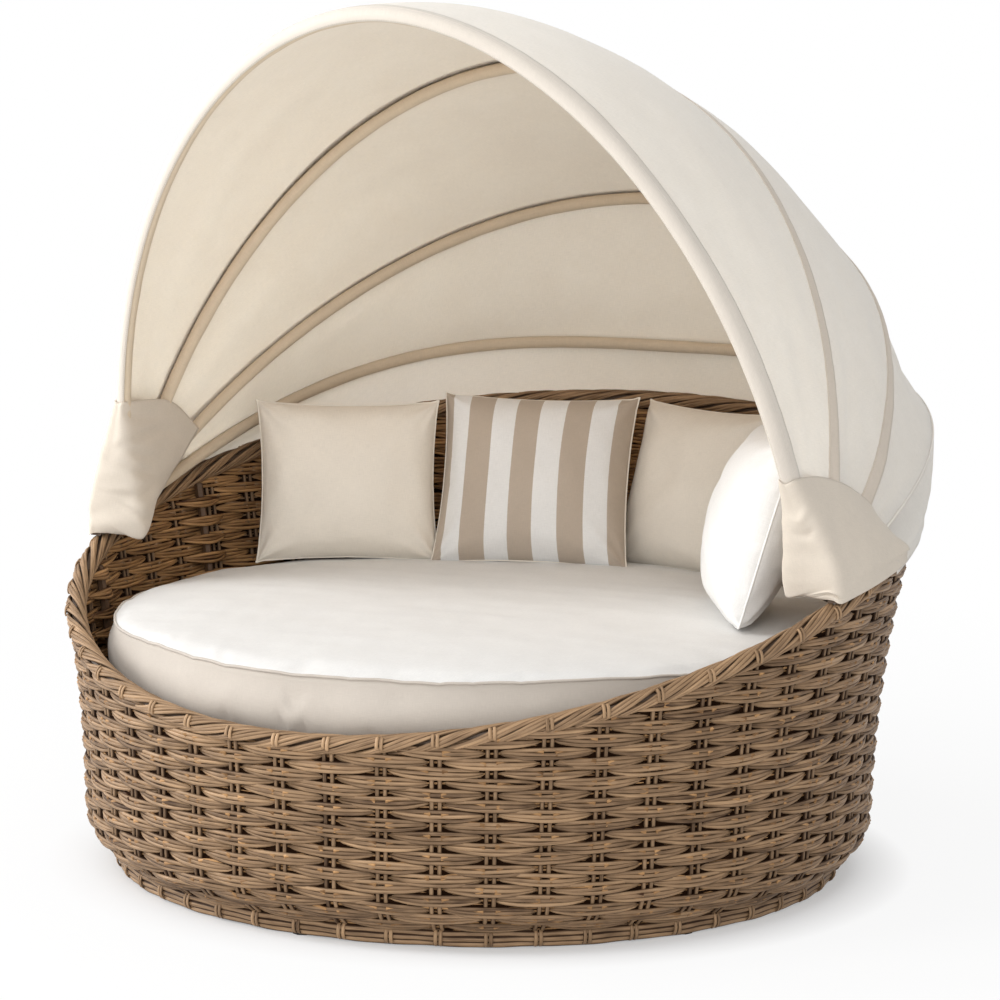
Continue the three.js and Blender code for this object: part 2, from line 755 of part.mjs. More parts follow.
function pinGeometry() {
  const outer = bracketX + bracketThickness + gap;
  const inner = nutX - nutLength - gap;
  const points = [
    [0, 0],
    [pinRadius, 0],
    [pinRadius, outer - inner],
    [pinHeadRadius, outer - inner],
    [pinHeadRadius, outer - inner + pinHeadLength * half],
    [pinHeadRadius * pinHeadFaceShare, outer - inner + pinHeadLength],
    [0, outer - inner + pinHeadLength],
  ].map(([radius, y]) => new THREE.Vector2(radius, y));
  return new THREE.LatheGeometry(points, pinSides).rotateZ(-quarterTurn).translate(inner, 0, 0);
}

const washerGeometry = (x) => turned(x, x + washerLength, barrelRadius, boreRadius);

function nutGeometry() {
  return turned(nutX - nutLength, nutX, nutRadius, boreRadius, tubeSides);
}

// A round block standing on a height.
function upright(radius, height, sides, bottom) {
  const geometry = new THREE.CylinderGeometry(radius, radius, height, sides);
  return geometry.rotateX(quarterTurn).translate(0, 0, bottom + height * half);
}

// Materials
const finish = (color, roughness, metalness = 0) =>
  new THREE.MeshStandardMaterial({ color, roughness, metalness, side: THREE.DoubleSide });
const wicker = () => finish("#a5876a", 0.75);
const brownTube = () => finish("#5a4736", 0.45, 0.6);
const bowFinish = () => finish("#c9b397", 0.5, 0.3);
const canopyCloth = () => finish("#e6ddd0", 0.9);
const pocketCloth = () => finish("#d8cbb9", 0.9);
const zinc = () => finish("#9a9a98", 0.4, 0.9);
const rubber = () => finish("#2b2927", 0.7);

const daybed = new THREE.Group();
const canopy = new THREE.Group();
canopy.name = "canopy";
daybed.add(canopy);

function piece(name, geometry, material, group = daybed) {
  const mesh = new THREE.Mesh(geometry, material);
  mesh.name = name;
  group.add(mesh);
  return mesh;
}

// Basket frame
const rimTube = tubeRing(braidCentreRadius, braidCentreHeight, frameTubeRadius);
piece("base_ring", tubeRing(() => baseRingRadius, () => baseRingHeight, frameTubeRadius), brownTube());
piece("rim_tube", joined([rimTube], rimHoles()), brownTube());
piece("seat_ring", tubeRing(seatRingRadius, () => seatRingHeight, frameTubeRadius), brownTube());
for (let i = 0; i < uprightCount; i += 1) {
  const turn = ((i + half) / uprightCount) * fullTurn;
  piece(`upright_${i + 1}`, uprightGeometry(turn), brownTube());
}
[-beamSpacing, 0, beamSpacing].forEach((x, i) => {
  const geometry = new THREE.BoxGeometry(beamWidth, beamLength(x), beamWidth);
  piece(`seat_beam_${i + 1}`, geometry, brownTube()).position.set(x, 0, seatRingHeight);
});
const deckRadius = seatRingRadius() + deckOverhang;
piece("seat_deck", upright(deckRadius, deckThickness, ringSteps, deckBottom), wicker());

// Feet
const legBottom = footHeight + gap;
const legLength = seatRingHeight - beamWidth * half - gap - legBottom;
piece("middle_leg", upright(middleLegRadius, legLength, tubeSides, legBottom), brownTube());
piece("middle_foot", upright(middleFootRadius, footHeight, pinSides, 0), rubber());
for (let i = 0; i < footCount; i += 1) {
  const foot = piece(`foot_${i + 1}`, upright(footRadius, footHeight, tubeSides, 0), rubber());
  foot.position.copy(around((i / footCount) * fullTurn, baseRingRadius, 0));
}

// Wicker
function rimHoles() {
  const right = screwPlaces();
  const left = right.map((place) => new THREE.Vector3(-place.x, place.y, place.z));
  return [...right, ...left].map((place) => hole(place));
}

piece("wicker_wall", basketRing(wallSection), wicker());
piece("base_border", basketRing(borderSection), wicker());
piece("rim_braid", joined([basketRing(braidSection)], rimHoles()), wicker());

// Cushions
piece("seat_cushion", seatCushionGeometry(), finish("#ece8df", 0.95));
const cushionColours = {
  cushion_left: "#cfc3b2",
  cushion_striped: "#c2b3a0",
  cushion_right: "#cfc3b2",
  pillow_white: "#efece6",
};
for (const [name, place] of Object.entries(cushionShares)) {
  piece(name, placedCushion(place), finish(cushionColours[name], 0.95));
}

// Canopy bows and pivots
canopy.position.set(0, pivotY, pivotHeight);
const bows = { front_bow: frontBow, second_bow: secondBow, third_bow: thirdBow, rear_bow: rearBow };
for (const [name, bow] of Object.entries(bows)) {
  piece(name, bowGeometry(bow), bowFinish(), canopy).rotation.x = bowTurn(bow.angle);
}
piece("pivot_pin_right", pinGeometry(), zinc(), canopy);
piece("pivot_pin_left", mirrored(pinGeometry()), zinc(), canopy);
[nutX + gap, bracketX - gap - washerLength].forEach((x, i) => {
  piece(`pivot_washer_right_${i + 1}`, washerGeometry(x), zinc(), canopy);
  piece(`pivot_washer_left_${i + 1}`, mirrored(washerGeometry(x)), zinc(), canopy);
});
piece("pivot_nut_right", nutGeometry(), zinc(), canopy);
piece("pivot_nut_left", mirrored(nutGeometry()), zinc(), canopy);
piece("pivot_bracket_right", bracketGeometry(1), brownTube());
piece("pivot_bracket_left", bracketGeometry(-1), brownTube());
screwPlaces().forEach((place, i) => {
  piece(`bracket_screw_right_${i + 1}`, screw(place), zinc());
  piece(`bracket_screw_left_${i + 1}`, mirrored(screw(place)), zinc());
});

// Canopy cloth
piece("canopy_front_panel", panelGeometry(frontBow, secondBow), canopyCloth());
piece("canopy_top_panel", panelGeometry(secondBow, thirdBow), canopyCloth());
piece("canopy_back_panel", panelGeometry(thirdBow, rearBow), canopyCloth());
piece("canopy_skirt", skirtGeometry(), canopyCloth());
piece("side_pocket_right", pocketGeometry(1), pocketCloth());
piece("side_pocket_left", pocketGeometry(-1), pocketCloth());

export default daybed;
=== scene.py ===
import math

import bpy
import numpy as np
from mathutils import Matrix, Vector


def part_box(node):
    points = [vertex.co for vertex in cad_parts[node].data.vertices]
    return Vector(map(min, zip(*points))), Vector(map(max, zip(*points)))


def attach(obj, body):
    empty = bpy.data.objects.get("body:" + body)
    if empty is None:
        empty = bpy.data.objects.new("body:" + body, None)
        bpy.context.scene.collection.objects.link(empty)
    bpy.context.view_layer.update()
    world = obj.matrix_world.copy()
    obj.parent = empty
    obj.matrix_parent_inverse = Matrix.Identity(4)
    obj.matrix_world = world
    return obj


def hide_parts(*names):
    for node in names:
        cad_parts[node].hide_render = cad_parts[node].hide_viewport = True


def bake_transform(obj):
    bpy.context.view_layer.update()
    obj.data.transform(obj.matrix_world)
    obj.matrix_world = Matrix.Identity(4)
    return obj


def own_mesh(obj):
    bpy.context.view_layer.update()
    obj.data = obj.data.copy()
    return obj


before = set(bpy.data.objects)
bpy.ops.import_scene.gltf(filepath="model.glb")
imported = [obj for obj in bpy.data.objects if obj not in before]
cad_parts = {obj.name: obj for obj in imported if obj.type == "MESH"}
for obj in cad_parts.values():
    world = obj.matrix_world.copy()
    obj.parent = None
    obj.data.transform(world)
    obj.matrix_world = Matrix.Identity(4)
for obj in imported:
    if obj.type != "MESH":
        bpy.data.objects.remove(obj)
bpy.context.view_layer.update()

bl_info = {
    "name": "Canopy daybed",
    "version": (1, 0, 0),
    "blender": (4, 5, 0),
    "location": "3D View > Sidebar > Daybed",
    "description": "Dresses a round woven daybed with its weave, cushions and folding cloth canopy",
    "category": "Add Mesh",
}

TURN = 2 * math.pi
UPWARDS = np.array([0.0, 0.0, 1.0])
LEVEL = np.array([1.0, 1.0, 0.0])
NO_TRIANGLES = np.zeros((0, 3), int)

# The basket, in metres, as the CAD source gives it
BASE_RADIUS = 0.786
RIM_RADIUS = 0.900
RIM_FRONT = 0.397
RIM_BACK = 0.860
RIM_SIDE_LIFT = 0.0108
WALL_HOLLOW = 0.036
FOOT_TUCK = 0.087
FOOT_TUCK_HEIGHT = 0.054
BRAID_RADIUS = 0.022
BRAID_STAND_OUT = 0.004
UPRIGHTS = 12
UPRIGHT_STAND_OFF = 0.0262
BORDER_LOW = 0.008
BORDER_TOP = 0.034
BORDER_RADIUS = 0.7110

# How deep the weave's middle lies in the wall, and how far under the rim each of its parts ends
WEAVE_DEPTH = 0.0070
WEAVE_UNDER_RIM = 0.027
STRAND_UNDER_RIM = 0.025
SHADE_UNDER_RIM = 0.026
ROD_UNDER_RIM = 0.030
ROW_UNDER_RIM = 0.040
# The rows at which the weave is split into pieces
WEAVE_BANDS = (12, 23)
STRANDS = (-1, 0, 1)
STRAND_SIDES = 6
# The flow vector of each strand begins somewhere up to this many metres along
FLOW_START = 50
ROD_ASIDE = 0.00725
ROD_FOOT = 0.012
ROD_POINTS = 26
ROD_SIDES = 7
# A bundle: points along it, reach in stakes, how far out its middle lies and how far its ends dive
BUNDLE_POINTS = 13
BUNDLE_REACH = 0.90
BUNDLE_OUT = 0.0064
BUNDLE_DIVE = 0.0132
BUNDLE_DIVE_POWER = 2.2
BUNDLE_APART = 0.0076
BUNDLE_SINK = 0.0026
BUNDLE_ROUND = 0.985
# Bundles inside that go round an upright: lowest row, points along one, and reach
UPRIGHT_WEAVE_LOW = 0.34
UPRIGHT_BUNDLE_POINTS = 11
UPRIGHT_BUNDLE_REACH = 0.062
UPRIGHT_BUNDLE_APART = 0.0066
UPRIGHT_BUNDLE_DEPTH = 0.0120
# The shade in the gaps: rows, columns a stake, relief, half thickness and how far it goes under the border
SHADE_ROWS = 121
SHADE_COLUMNS = 6
SHADE_RELIEF = 0.0045
SHADE_HALF = 0.0005
SHADE_UNDER_BORDER = 0.004

# The rim's twist and loops, and the border's strands and wraps
RIM_PLIES = 5
RIM_TWISTS = 13
RIM_POINTS = 840
RIM_REACH = 0.0158
RIM_STRAND = (0.0038, 0.0034)
LOOP_ASIDE = 0.0046
LOOP_REACH = 0.0212
LOOP_STRAND = (0.0036, 0.0020)
# Where a loop's two ends are bent to, as shares of the way out from the braid's middle
LOOP_ENDS = (0.80, 0.76)
BORDER_POINTS = 600
# Height, distance outwards and half height of each strand, and the half thickness of all
BORDER_STRANDS = (
    (0.0076, 0.0040, 0.0062), (0.0170, 0.0070, 0.0070), (0.0275, 0.0085, 0.0070), (0.0350, 0.0035, 0.0045),
)
BORDER_HALF = 0.0062
WRAP_ASIDE = 0.0045
WRAP_TURN_RADIUS = 0.72
WRAP_MIDDLE = 0.0196
WRAP_HALF_HEIGHT = 0.0160
WRAP_INSIDE = 0.0022
WRAP_REACH = 0.0150
WRAP_STRAND = (0.0040, 0.0018)

# Seat and cushions
SEAT_RADIUS = 0.7411
SEAT_BOTTOM = 0.3426
SEAT_EDGE = 0.490
SEAT_CROWN = 0.024
SEAT_BULGE = 0.009
SEAT_INSET = 0.004
SEAT_STEPS = 97
SEAT_SIDE_STEPS = 12
SEAM_RADIUS = 0.0028
# Width, height and thickness as shares of CUSHION_WIDTH, place as shares of the seat's radius, and
# yaw and lean in degrees
CUSHIONS = {
    "cushion_left": (0.99, 0.8825, 0.3625, -0.668, 0.452, 31, 13),
    "cushion_striped": (1.075, 0.975, 0.3875, -0.173, 0.63, 17, 24),
    "cushion_right": (0.9625, 0.925, 0.375, 0.232, 0.807, -17, 17),
    "pillow_white": (1.05, 0.98, 0.4125, 0.659, 0.124, -60, 16),
}
CUSHION_WIDTH = 0.400
CUSHION_PINCH = 0.07
CUSHION_DOME = 0.55
# The cushions start this much thinner, because they swell
CUSHION_SWELL = 0.006
CUSHION_STEPS = 61
# How much of the swelling is kept along, through and up a cushion
SWELL_KEPT = np.array([0.3, 1.0, 0.3])
DRAWN_IN = 0.052
PILLOW_CORNER = 0.07
FOLD_REACH = 0.035
FOLD_DEPTH = 0.0022
LOWER_FOLDS = 1.6
STRIPES = ((-1.3, -0.885), (-0.70, -0.44), (-0.20, 0.05), (0.31, 0.575), (0.815, 1.3))
CLOTH_STIFFNESS = 8.0
# Pressure, frames and furthest move of the covers as they swell, and threads of each cloth
CUSHION_PUFF = (3.0, 16, 0.018)
SEAT_PUFF = (2.0, 14, 0.010)
CUSHION_THREADS = 1100.0
SEAT_THREADS = 800.0

# Canopy: the pivots, and each hoop's place from the innermost, height, power and angle from the front
PIVOT_Y = -0.120121
PIVOT_Z = 0.636039
BARREL_SPACING = 0.018
INNER_BARREL = 0.7443
BOWS = {
    "front": (0, 1.089, 1.918, 72.6),
    "second": (1, 1.034, 2.017, 113.9),
    "third": (2, 1.205, 2.195, 147.4),
    "rear": (3, 1.0931, 3.164, 162.925),
}
BOW_BODIES = {"front": "front_hoop", "second": "second_hoop", "third": "third_hoop", "rear": "basket"}
BOW_START = 0.009
BOW_STEPS = 34
BOW_FINE_STEPS = 6001
PANEL_FIRST = 1.9 / BOW_STEPS
PANEL_LAST = 1 - 2.1 / BOW_STEPS
PANEL_COLUMNS = 181
PANEL_ROWS = 33
CLOTH_THICKNESS = 0.002
CLOTH_OFFSET = 0.011
CLOTH_OUTSIDE = CLOTH_OFFSET + CLOTH_THICKNESS
CLOTH_SAG = 0.022
CLOTH_GAP = 0.0015
THIN_CLOTH_DEPTH = 0.006
CANOPY_THREADS = 700.0
CANOPY_THIN = 0.85
FOLD_FADE = 0.16
FOLD_RIPPLE = 0.0020
FOLD_BROAD = 0.0055
SKIRT_DROP = 0.034
SKIRT_STRAIGHT = 0.022
SKIRT_BULGE = 0.014
SKIRT_RIPPLE = 0.0035
SKIRT_FULLNESS = 0.003
SLEEVE_INSET = 0.0040
REAR_SLEEVE_INSET = 1.7
SLEEVE_PAST_PANEL = 0.028
CASING_HALF = 0.0170
CASING_LIFTS = (0.0014, -0.0004)
HEM_WIDTH = 0.054
# How far from a strip's edge its stitches run
CASING_STITCHES = 0.0025
HEM_STITCHES = 0.003
HEM_LIFTS = (0.0026, 0.0008)
HEM_STRIP_SINK = 0.0012
HEM_PAST_PANEL = 0.006
HEM_ARC = (118, 8)
HEM_STRIP = (0.004, 0.009, 0.014, 0.018)
# A tape or hem reaches at most this share of the way over a panel
STRIP_LIMIT = 0.4
STITCH_LENGTH = 0.0048
STITCH_HALF = 0.0006
REAR_CORD = (0.0012, 0.0026)

# Pockets. Tucks: place down the pocket, place round it, reach round it, slant and depth
POCKET_TUCKS = {
    "right": (
        (0.14, 6.8, 0.6, 0.03, 0.0060), (0.21, 6.9, 0.5, 0.02, -0.0050),
        (0.80, 6.8, 0.6, -0.03, 0.0050), (0.88, 6.7, 0.8, -0.02, -0.0040),
    ),
    "left": (
        (0.06, 8.2, 0.7, 0.03, -0.006), (0.13, 8.5, 0.9, -0.03, -0.007), (0.20, 8.2, 0.7, 0.04, -0.007),
        (0.27, 8.4, 0.8, 0.02, -0.008), (0.34, 8.3, 0.9, -0.03, -0.007), (0.42, 8.2, 0.7, 0.02, -0.006),
    ),
}
TUCK_WIDTH = 0.018
# How far along the hoops a pocket's columns begin, in steps: outside from the rear, then inside
POCKET_TOPS = {
    1: (2.5, 2.5, 2.45, 2.32, 2.27, 2.24, 2.35, 2.35, 2.4, 2.4, 2.5),
    -1: (3.0, 3.0, 3.0, 2.95, 2.9, 2.9, 3.1, 3.15, 3.15, 3.1, 3.2),
}
POCKET_ROWS = 81
POCKET_COLUMNS = 141
POCKET_PROUD = 0.003
POCKET_SLACK = 0.0030
POCKET_FRONT_ANGLE = 79.2
POCKET_FOLD = 0.0190
POCKET_INSET = 0.031
POCKET_FLOOR_DROP = 0.020
POCKET_HEM_RISE = 0.013
POCKET_BULGE = 0.010
POCKET_PIN_SHARE = 0.15
FOLD_ROW_SHARES = (0.5, 0.8, 0.9)
FOLD_HEM_SHARES = (0.5, 1.3)
INNER_HEM_PLACES = (1.0, 0.88, 0.74)
INNER_HEM_SHARES = ((-0.5, 1.2), (-0.9, 0.6), (-0.9, 0.6))

# Solids that are carried over: finish, what their names begin with, dark and light colour, and the rest
SOLID_FINISHES = (
    ("Coated hoop tube", ("front_bow", "second_bow", "third_bow", "rear_bow"),
     (0.72, 0.64, 0.55), (0.80, 0.73, 0.64),
     {"rough": (0.35, 0.5), "bump": 0.1, "depth": 0.0003, "metallic": 0.3}),
    ("Zinc", ("pivot_pin", "pivot_washer", "pivot_nut", "bracket_screw"),
     (0.50, 0.50, 0.49), (0.68, 0.68, 0.67),
     {"rough": (0.28, 0.45), "bump": 0.15, "depth": 0.0002, "metallic": 0.9}),
    ("Foot rubber", ("foot_", "middle_foot"),
     (0.10, 0.095, 0.09), (0.17, 0.16, 0.15),
     {"rough": (0.7, 0.9), "bump": 0.3, "depth": 0.0005}),
    ("Brown coated upright", ("upright",),
     (0.24, 0.165, 0.10), (0.40, 0.29, 0.19),
     {"rough": (0.5, 0.7), "bump": 0.25, "depth": 0.0005}),
    ("Deck board", ("seat_deck",),
     (0.45, 0.33, 0.22), (0.62, 0.48, 0.34),
     {"rough": (0.55, 0.75), "bump": 0.2, "depth": 0.0006, "values": {"Scale": 60.0, "Wear": 0.8}}),
    ("Painted frame tube", ("",),
     (0.26, 0.20, 0.155), (0.38, 0.30, 0.235),
     {"rough": (0.4, 0.6), "bump": 0.15, "depth": 0.0004, "metallic": 0.2}),
)

# Camera of the photograph, and the lamps: name, place, size and watts, with the world's light
CAMERA_PLACE = (3.0854, -6.0036, 1.6569)
CAMERA_TURN = 26.9
CAMERA_PITCH = 7.9
CAMERA_ROLL = 0.7
CAMERA_LENS = 123.33
LAMPS = (
    ("key", (-3.2, -3.4, 5.6), 3.0, 170.0),
    ("side", (-5.4, -1.7, 1.9), 3.0, 160.0),
    ("fill", (2.6, -5.6, 3.0), 4.0, 110.0),
    ("low", (-0.6, -5.6, 1.2), 3.0, 25.0),
)
LAMPS_AIM = (0, 0, 0.7)
WORLD_LIGHT = 0.60
FLOOR_HALF = 14.0
# How white the floor is to the camera: under the daybed, and what is added beside and far from it.
# The glow is weaker near the daybed, a painted shadow round its base over the real one.
FLOOR_WHITE = (0.34, 0.54, 0.12)
FLOOR_NEAR = (0.74, 0.87)
FLOOR_FAR = (1.1, 3.4)


def size(name, description, default):
    """A length that the user may change."""
    return bpy.props.FloatProperty(name=name, description=description, default=default, unit="LENGTH")


def colour(name, description, default):
    """A colour that the user may change."""
    return bpy.props.FloatVectorProperty(name=name, description=description, default=default,
                                         subtype="COLOR_GAMMA")


class WeaveSettings(bpy.types.PropertyGroup):
    stakes: bpy.props.IntProperty(name="Stake pairs", description="Pairs of upright rods round the basket",
                                  default=50, min=12)
    row: size("Row", "Height of one row of weaving", 0.0196)
    strand: size("Strand", "Height of one strand", 0.0081)
    thickness: size("Thickness", "Thickness of one strand", 0.0074)
    rod: size("Rod", "Diameter of a stake's rod", 0.0088)
    light: colour("Light strand", "Colour of the palest strands", (0.725, 0.592, 0.452))
    dark: colour("Dark strand", "Colour of the darkest strands", (0.215, 0.13, 0.06))


class CushionSettings(bpy.types.PropertyGroup):
    piping: size("Piping", "Diameter of the piping cord", 0.0046)
    seat: colour("Seat cloth", "Colour of the seat cushion", (0.90, 0.896, 0.887))
    # Painted shade: the side strip's colour is greyer and darker than the top's, for the shade on the seat's
    # side.
    shaded_side: colour("Seat side cloth painted darker", "Colour of the seat's side strip", (0.775, 0.738, 0.695))
    beige: colour("Beige cloth", "Colour of the plain cushions", (0.955, 0.922, 0.870))
    stripe: colour("Stripe", "Colour of the darker stripes", (0.76, 0.70, 0.635))
    white: colour("White cloth", "Colour of the pillow and the pale stripes", (0.955, 0.95, 0.94))


class CanopySettings(bpy.types.PropertyGroup):
    casing: size("Casing", "Radius of the sleeves round the hoops", 0.0135)
    outside: colour("Outside", "Colour of the cloth outside", (0.95, 0.912, 0.862))
    lining: colour("Lining", "Colour of the cloth inside", (0.97, 0.915, 0.850))
    sleeve: colour("Sleeve", "Colour of the hoops' sleeves", (0.86, 0.79, 0.69))
    # Painted shade: the tapes are darker than the outside cloth, for the hoops' shade seen through the cloth.
    tape: colour("Tape", "Colour of the tapes over the seams", (0.86, 0.81, 0.75))
    pocket: colour("Pocket", "Colour of the side pockets", (0.87, 0.825, 0.765))


# Shapes

def wall_radius(z):
    """Outside radius of the wall at a height: a cone, drawn in half way up and tucked in at the floor."""
    share = z / RIM_BACK
    return (BASE_RADIUS + (RIM_RADIUS - BASE_RADIUS) * share - WALL_HOLLOW * 4 * share * (1 - share)
            - FOOT_TUCK * np.exp(-((z / FOOT_TUCK_HEIGHT) ** 2)))


def rim_height(turn):
    """Height of the rim at an angle round from the front: a slanting cut whose sides rise a little."""
    return ((RIM_FRONT + RIM_BACK) / 2 - (RIM_BACK - RIM_FRONT) / 2 * np.cos(turn)
            + RIM_SIDE_LIFT * (1 - np.cos(2 * turn)))


def braid_radius(turn):
    """Distance of the middle of the rim braid from the basket's middle."""
    return wall_radius(rim_height(turn)) + BRAID_STAND_OUT - BRAID_RADIUS


def around(turn, radius, z):
    """Points at a radius and height, at an angle round from the front."""
    return np.stack(np.broadcast_arrays(radius * np.sin(turn), -radius * np.cos(turn), z), axis=-1)


def braid_middle(turn):
    """Points on the middle line of the rim braid."""
    return around(turn, braid_radius(turn), rim_height(turn) - BRAID_RADIUS)


def sideways(turn):
    """The level way round the basket at an angle from the front."""
    return np.array([math.cos(turn), math.sin(turn), 0.0])


def unit(vectors):
    """Vectors of length one along the last axis."""
    return vectors / np.maximum(np.linalg.norm(vectors, axis=-1, keepdims=True), 1e-12)


def along_path(path, closed):
    """Unit tangents of a path, from each point's neighbours."""
    if closed:
        return unit(np.roll(path, -1, axis=-2) - np.roll(path, 1, axis=-2))
    return unit(np.gradient(path, axis=-2))


def sweep(path, up, wide, thick, sides, closed=False, start=0.0):
    """A tube: an ellipse, wide along up and thick across it, carried along a path.
    Ring point = path + up·wide·sin(a) + side·thick·cos(a). Gives points, quads, triangles and the
    flow vector (distance along, then round) that the materials read."""
    path = np.asarray(path, float)
    count = len(path)
    tangent = along_path(path, closed)
    side = unit(np.cross(tangent, up))
    up = np.cross(side, tangent)
    angle = TURN * np.arange(sides) / sides
    wide = np.broadcast_to(wide, count)[:, None, None]
    thick = np.broadcast_to(thick, count)[:, None, None]
    points = (path[:, None] + up[:, None] * wide * np.sin(angle)[None, :, None]
              + side[:, None] * thick * np.cos(angle)[None, :, None])
    steps = np.linalg.norm(np.diff(path, axis=0), axis=1)
    distance = start + np.concatenate([[0], np.cumsum(steps)])
    across, rise = thick[..., 0] * np.cos(angle), wide[..., 0] * np.sin(angle)
    flow = np.stack(np.broadcast_arrays(distance[:, None], across, rise), axis=-1)
    rings = count if closed else count - 1
    i, k = np.meshgrid(np.arange(rings), np.arange(sides), indexing="ij")
    a, b = i * sides, ((i + 1) % count) * sides
    n = (k + 1) % sides
    quads = np.stack([a + k, b + k, b + n, a + n], axis=-1).reshape(-1, 4)
    points, flow = points.reshape(-1, 3), flow.reshape(-1, 3)
    if closed:
        return points, quads, NO_TRIANGLES, flow
    first, last = len(points), len(points) + 1
    points = np.concatenate([points, path[:1], path[-1:]])
    flow = np.concatenate([flow, flow[:1], flow[-2:-1]])
    return points, quads, end_caps(sides, count, first, last), flow


def end_caps(sides, rings, first, last):
    """Triangles that close a tube's two ends, each round its own middle point."""
    k = np.arange(sides)
    n = (k + 1) % sides
    end = (rings - 1) * sides
    return np.concatenate([np.stack([np.full(sides, first), k, n], -1),
                           np.stack([np.full(sides, last), end + n, end + k], -1)])


def sweep_many(paths, wide, thick, sides, starts):
    """The same tube along many short open paths at once, wide upwards and thick across."""
    many, count = paths.shape[:2]
    tangent = along_path(paths, False)
    side = unit(np.cross(tangent, UPWARDS))
    up = np.cross(side, tangent)
    angle = TURN * np.arange(sides) / sides
    wide = np.broadcast_to(wide, (many, count))[..., None]
    thick = np.broadcast_to(thick, (many, count))[..., None]
    across, rise = thick * np.cos(angle), wide * np.sin(angle)
    rings = paths[:, :, None] + up[:, :, None] * rise[..., None] + side[:, :, None] * across[..., None]
    steps = np.linalg.norm(np.diff(paths, axis=1), axis=-1)
    distance = np.concatenate([np.zeros((many, 1)), np.cumsum(steps, axis=1)], axis=1) + starts[:, None]
    flow = np.stack([np.broadcast_to(distance[..., None], across.shape), across, rise], -1)
    points = np.concatenate([rings.reshape(many, -1, 3), paths[:, :1], paths[:, -1:]], axis=1)
    flow = np.concatenate([flow.reshape(many, -1, 3), flow[:, 0, :1], flow[:, -1, :1]], axis=1)
    i, k = np.meshgrid(np.arange(count - 1), np.arange(sides), indexing="ij")
    n = (k + 1) % sides
    a, b = i * sides, (i + 1) * sides
    quads = np.stack([a + k, b + k, b + n, a + n], -1).reshape(-1, 4)
    tris = end_caps(sides, count, count * sides, count * sides + 1)
    shift = (np.arange(many) * points.shape[1])[:, None, None]
    return (points.reshape(-1, 3), (quads[None] + shift).reshape(-1, 4), (tris[None] + shift).reshape(-1, 3),
            flow.reshape(-1, 3))


def grid_quads(rows, cols, closed=False):
    """Quads of a grid of points, whose rows may be closed rings."""
    i, k = np.meshgrid(np.arange(rows - 1), np.arange(cols if closed else cols - 1), indexing="ij")
    n = (k + 1) % cols
    return np.stack([i * cols + k, i * cols + n, (i + 1) * cols + n, (i + 1) * cols + k], -1).reshape(-1, 4)


def sheet_shell(outer, inner, closed=False):
    """A thin closed shell between two grids of points, outer and inner, joined round their edges.
    The outer grid's quads come first, then the inner's, then the edge's. Gives points, quads, the
    flow vector (distance across and down) and slots, 1 on the inner side."""
    rows, cols = outer.shape[:2]
    front = grid_quads(rows, cols, closed)
    count = rows * cols
    back = front[:, ::-1] + count
    line = np.arange(cols)
    if closed:
        ring = np.append(line, 0)
        edges = [ring[::-1], ring + (rows - 1) * cols]
    else:
        ring = np.concatenate([line, np.arange(1, rows) * cols + cols - 1,
                               (rows - 1) * cols + line[::-1][1:], np.arange(rows - 1)[::-1] * cols])
        edges = [ring[::-1]]
    rim = [np.stack([e[:-1], e[1:], e[1:] + count, e[:-1] + count], -1) for e in edges]
    quads = np.concatenate([front, back, *rim])
    points = np.concatenate([outer.reshape(-1, 3), inner.reshape(-1, 3)])
    across = np.linalg.norm(np.diff(outer, axis=1), axis=-1)
    down = np.linalg.norm(np.diff(outer, axis=0), axis=-1)
    u = np.concatenate([np.zeros((rows, 1)), np.cumsum(across, axis=1)], axis=1)
    v = np.concatenate([np.zeros((1, cols)), np.cumsum(down, axis=0)], axis=0)
    flow = np.stack([u - u[:, [cols // 2]], v, np.zeros_like(u)], -1).reshape(-1, 3)
    slots = np.zeros(len(quads), int)
    slots[len(front):len(front) + len(back)] = 1
    return points, quads, np.concatenate([flow, flow]), slots


class Heap:
    """Collects parts of one mesh: points, faces, the flow vector and one tone per part."""

    def __init__(self):
        self.points, self.quads, self.tris, self.flow, self.tone = [], [], [], [], []
        self.count = 0

    def add(self, made, tone=0.5):
        points, quads, tris, flow = made
        self.points.append(points)
        self.quads.append(quads + self.count)
        self.tris.append(tris + self.count)
        self.flow.append(flow)
        self.tone.append(np.broadcast_to(tone, len(points)))
        self.count += len(points)

    def mesh(self, name, material):
        points, quads, tris, flow, tone = map(
            np.concatenate, (self.points, self.quads, self.tris, self.flow, self.tone))
        return new_piece(name, points, quads, flow, [material], tris=tris, tone=tone)


def new_piece(name, points, quads, flow, materials, slots=None, tris=NO_TRIANGLES, tone=0.5):
    """A mesh object at the origin from arrays of points, quads and triangles, shaded smooth."""
    mesh = bpy.data.meshes.new(name)
    mesh.vertices.add(len(points))
    mesh.vertices.foreach_set("co", np.ascontiguousarray(points, np.float32).ravel())
    corners = np.concatenate([quads.ravel(), tris.ravel()]).astype(np.int32)
    mesh.loops.add(len(corners))
    mesh.loops.foreach_set("vertex_index", corners)
    starts = np.concatenate([np.arange(len(quads)) * 4, quads.size + np.arange(len(tris)) * 3])
    mesh.polygons.add(len(starts))
    mesh.polygons.foreach_set("loop_start", starts.astype(np.int32))
    mesh.polygons.foreach_set("use_smooth", np.ones(len(starts), bool))
    if slots is not None:
        mesh.polygons.foreach_set("material_index", np.asarray(slots, np.int32))
    mesh.update(calc_edges=True)
    mesh.validate()
    attribute = mesh.attributes.new("flow", "FLOAT_VECTOR", "POINT")
    attribute.data.foreach_set("vector", np.ascontiguousarray(flow, np.float32).ravel())
    attribute = mesh.attributes.new("tone", "FLOAT", "POINT")
    attribute.data.foreach_set("value", np.ascontiguousarray(np.broadcast_to(tone, len(points)), np.float32))
    made = bpy.data.objects.new(name, mesh)
    bpy.context.scene.collection.objects.link(made)
    for material in materials:
        mesh.materials.append(material)
    return made


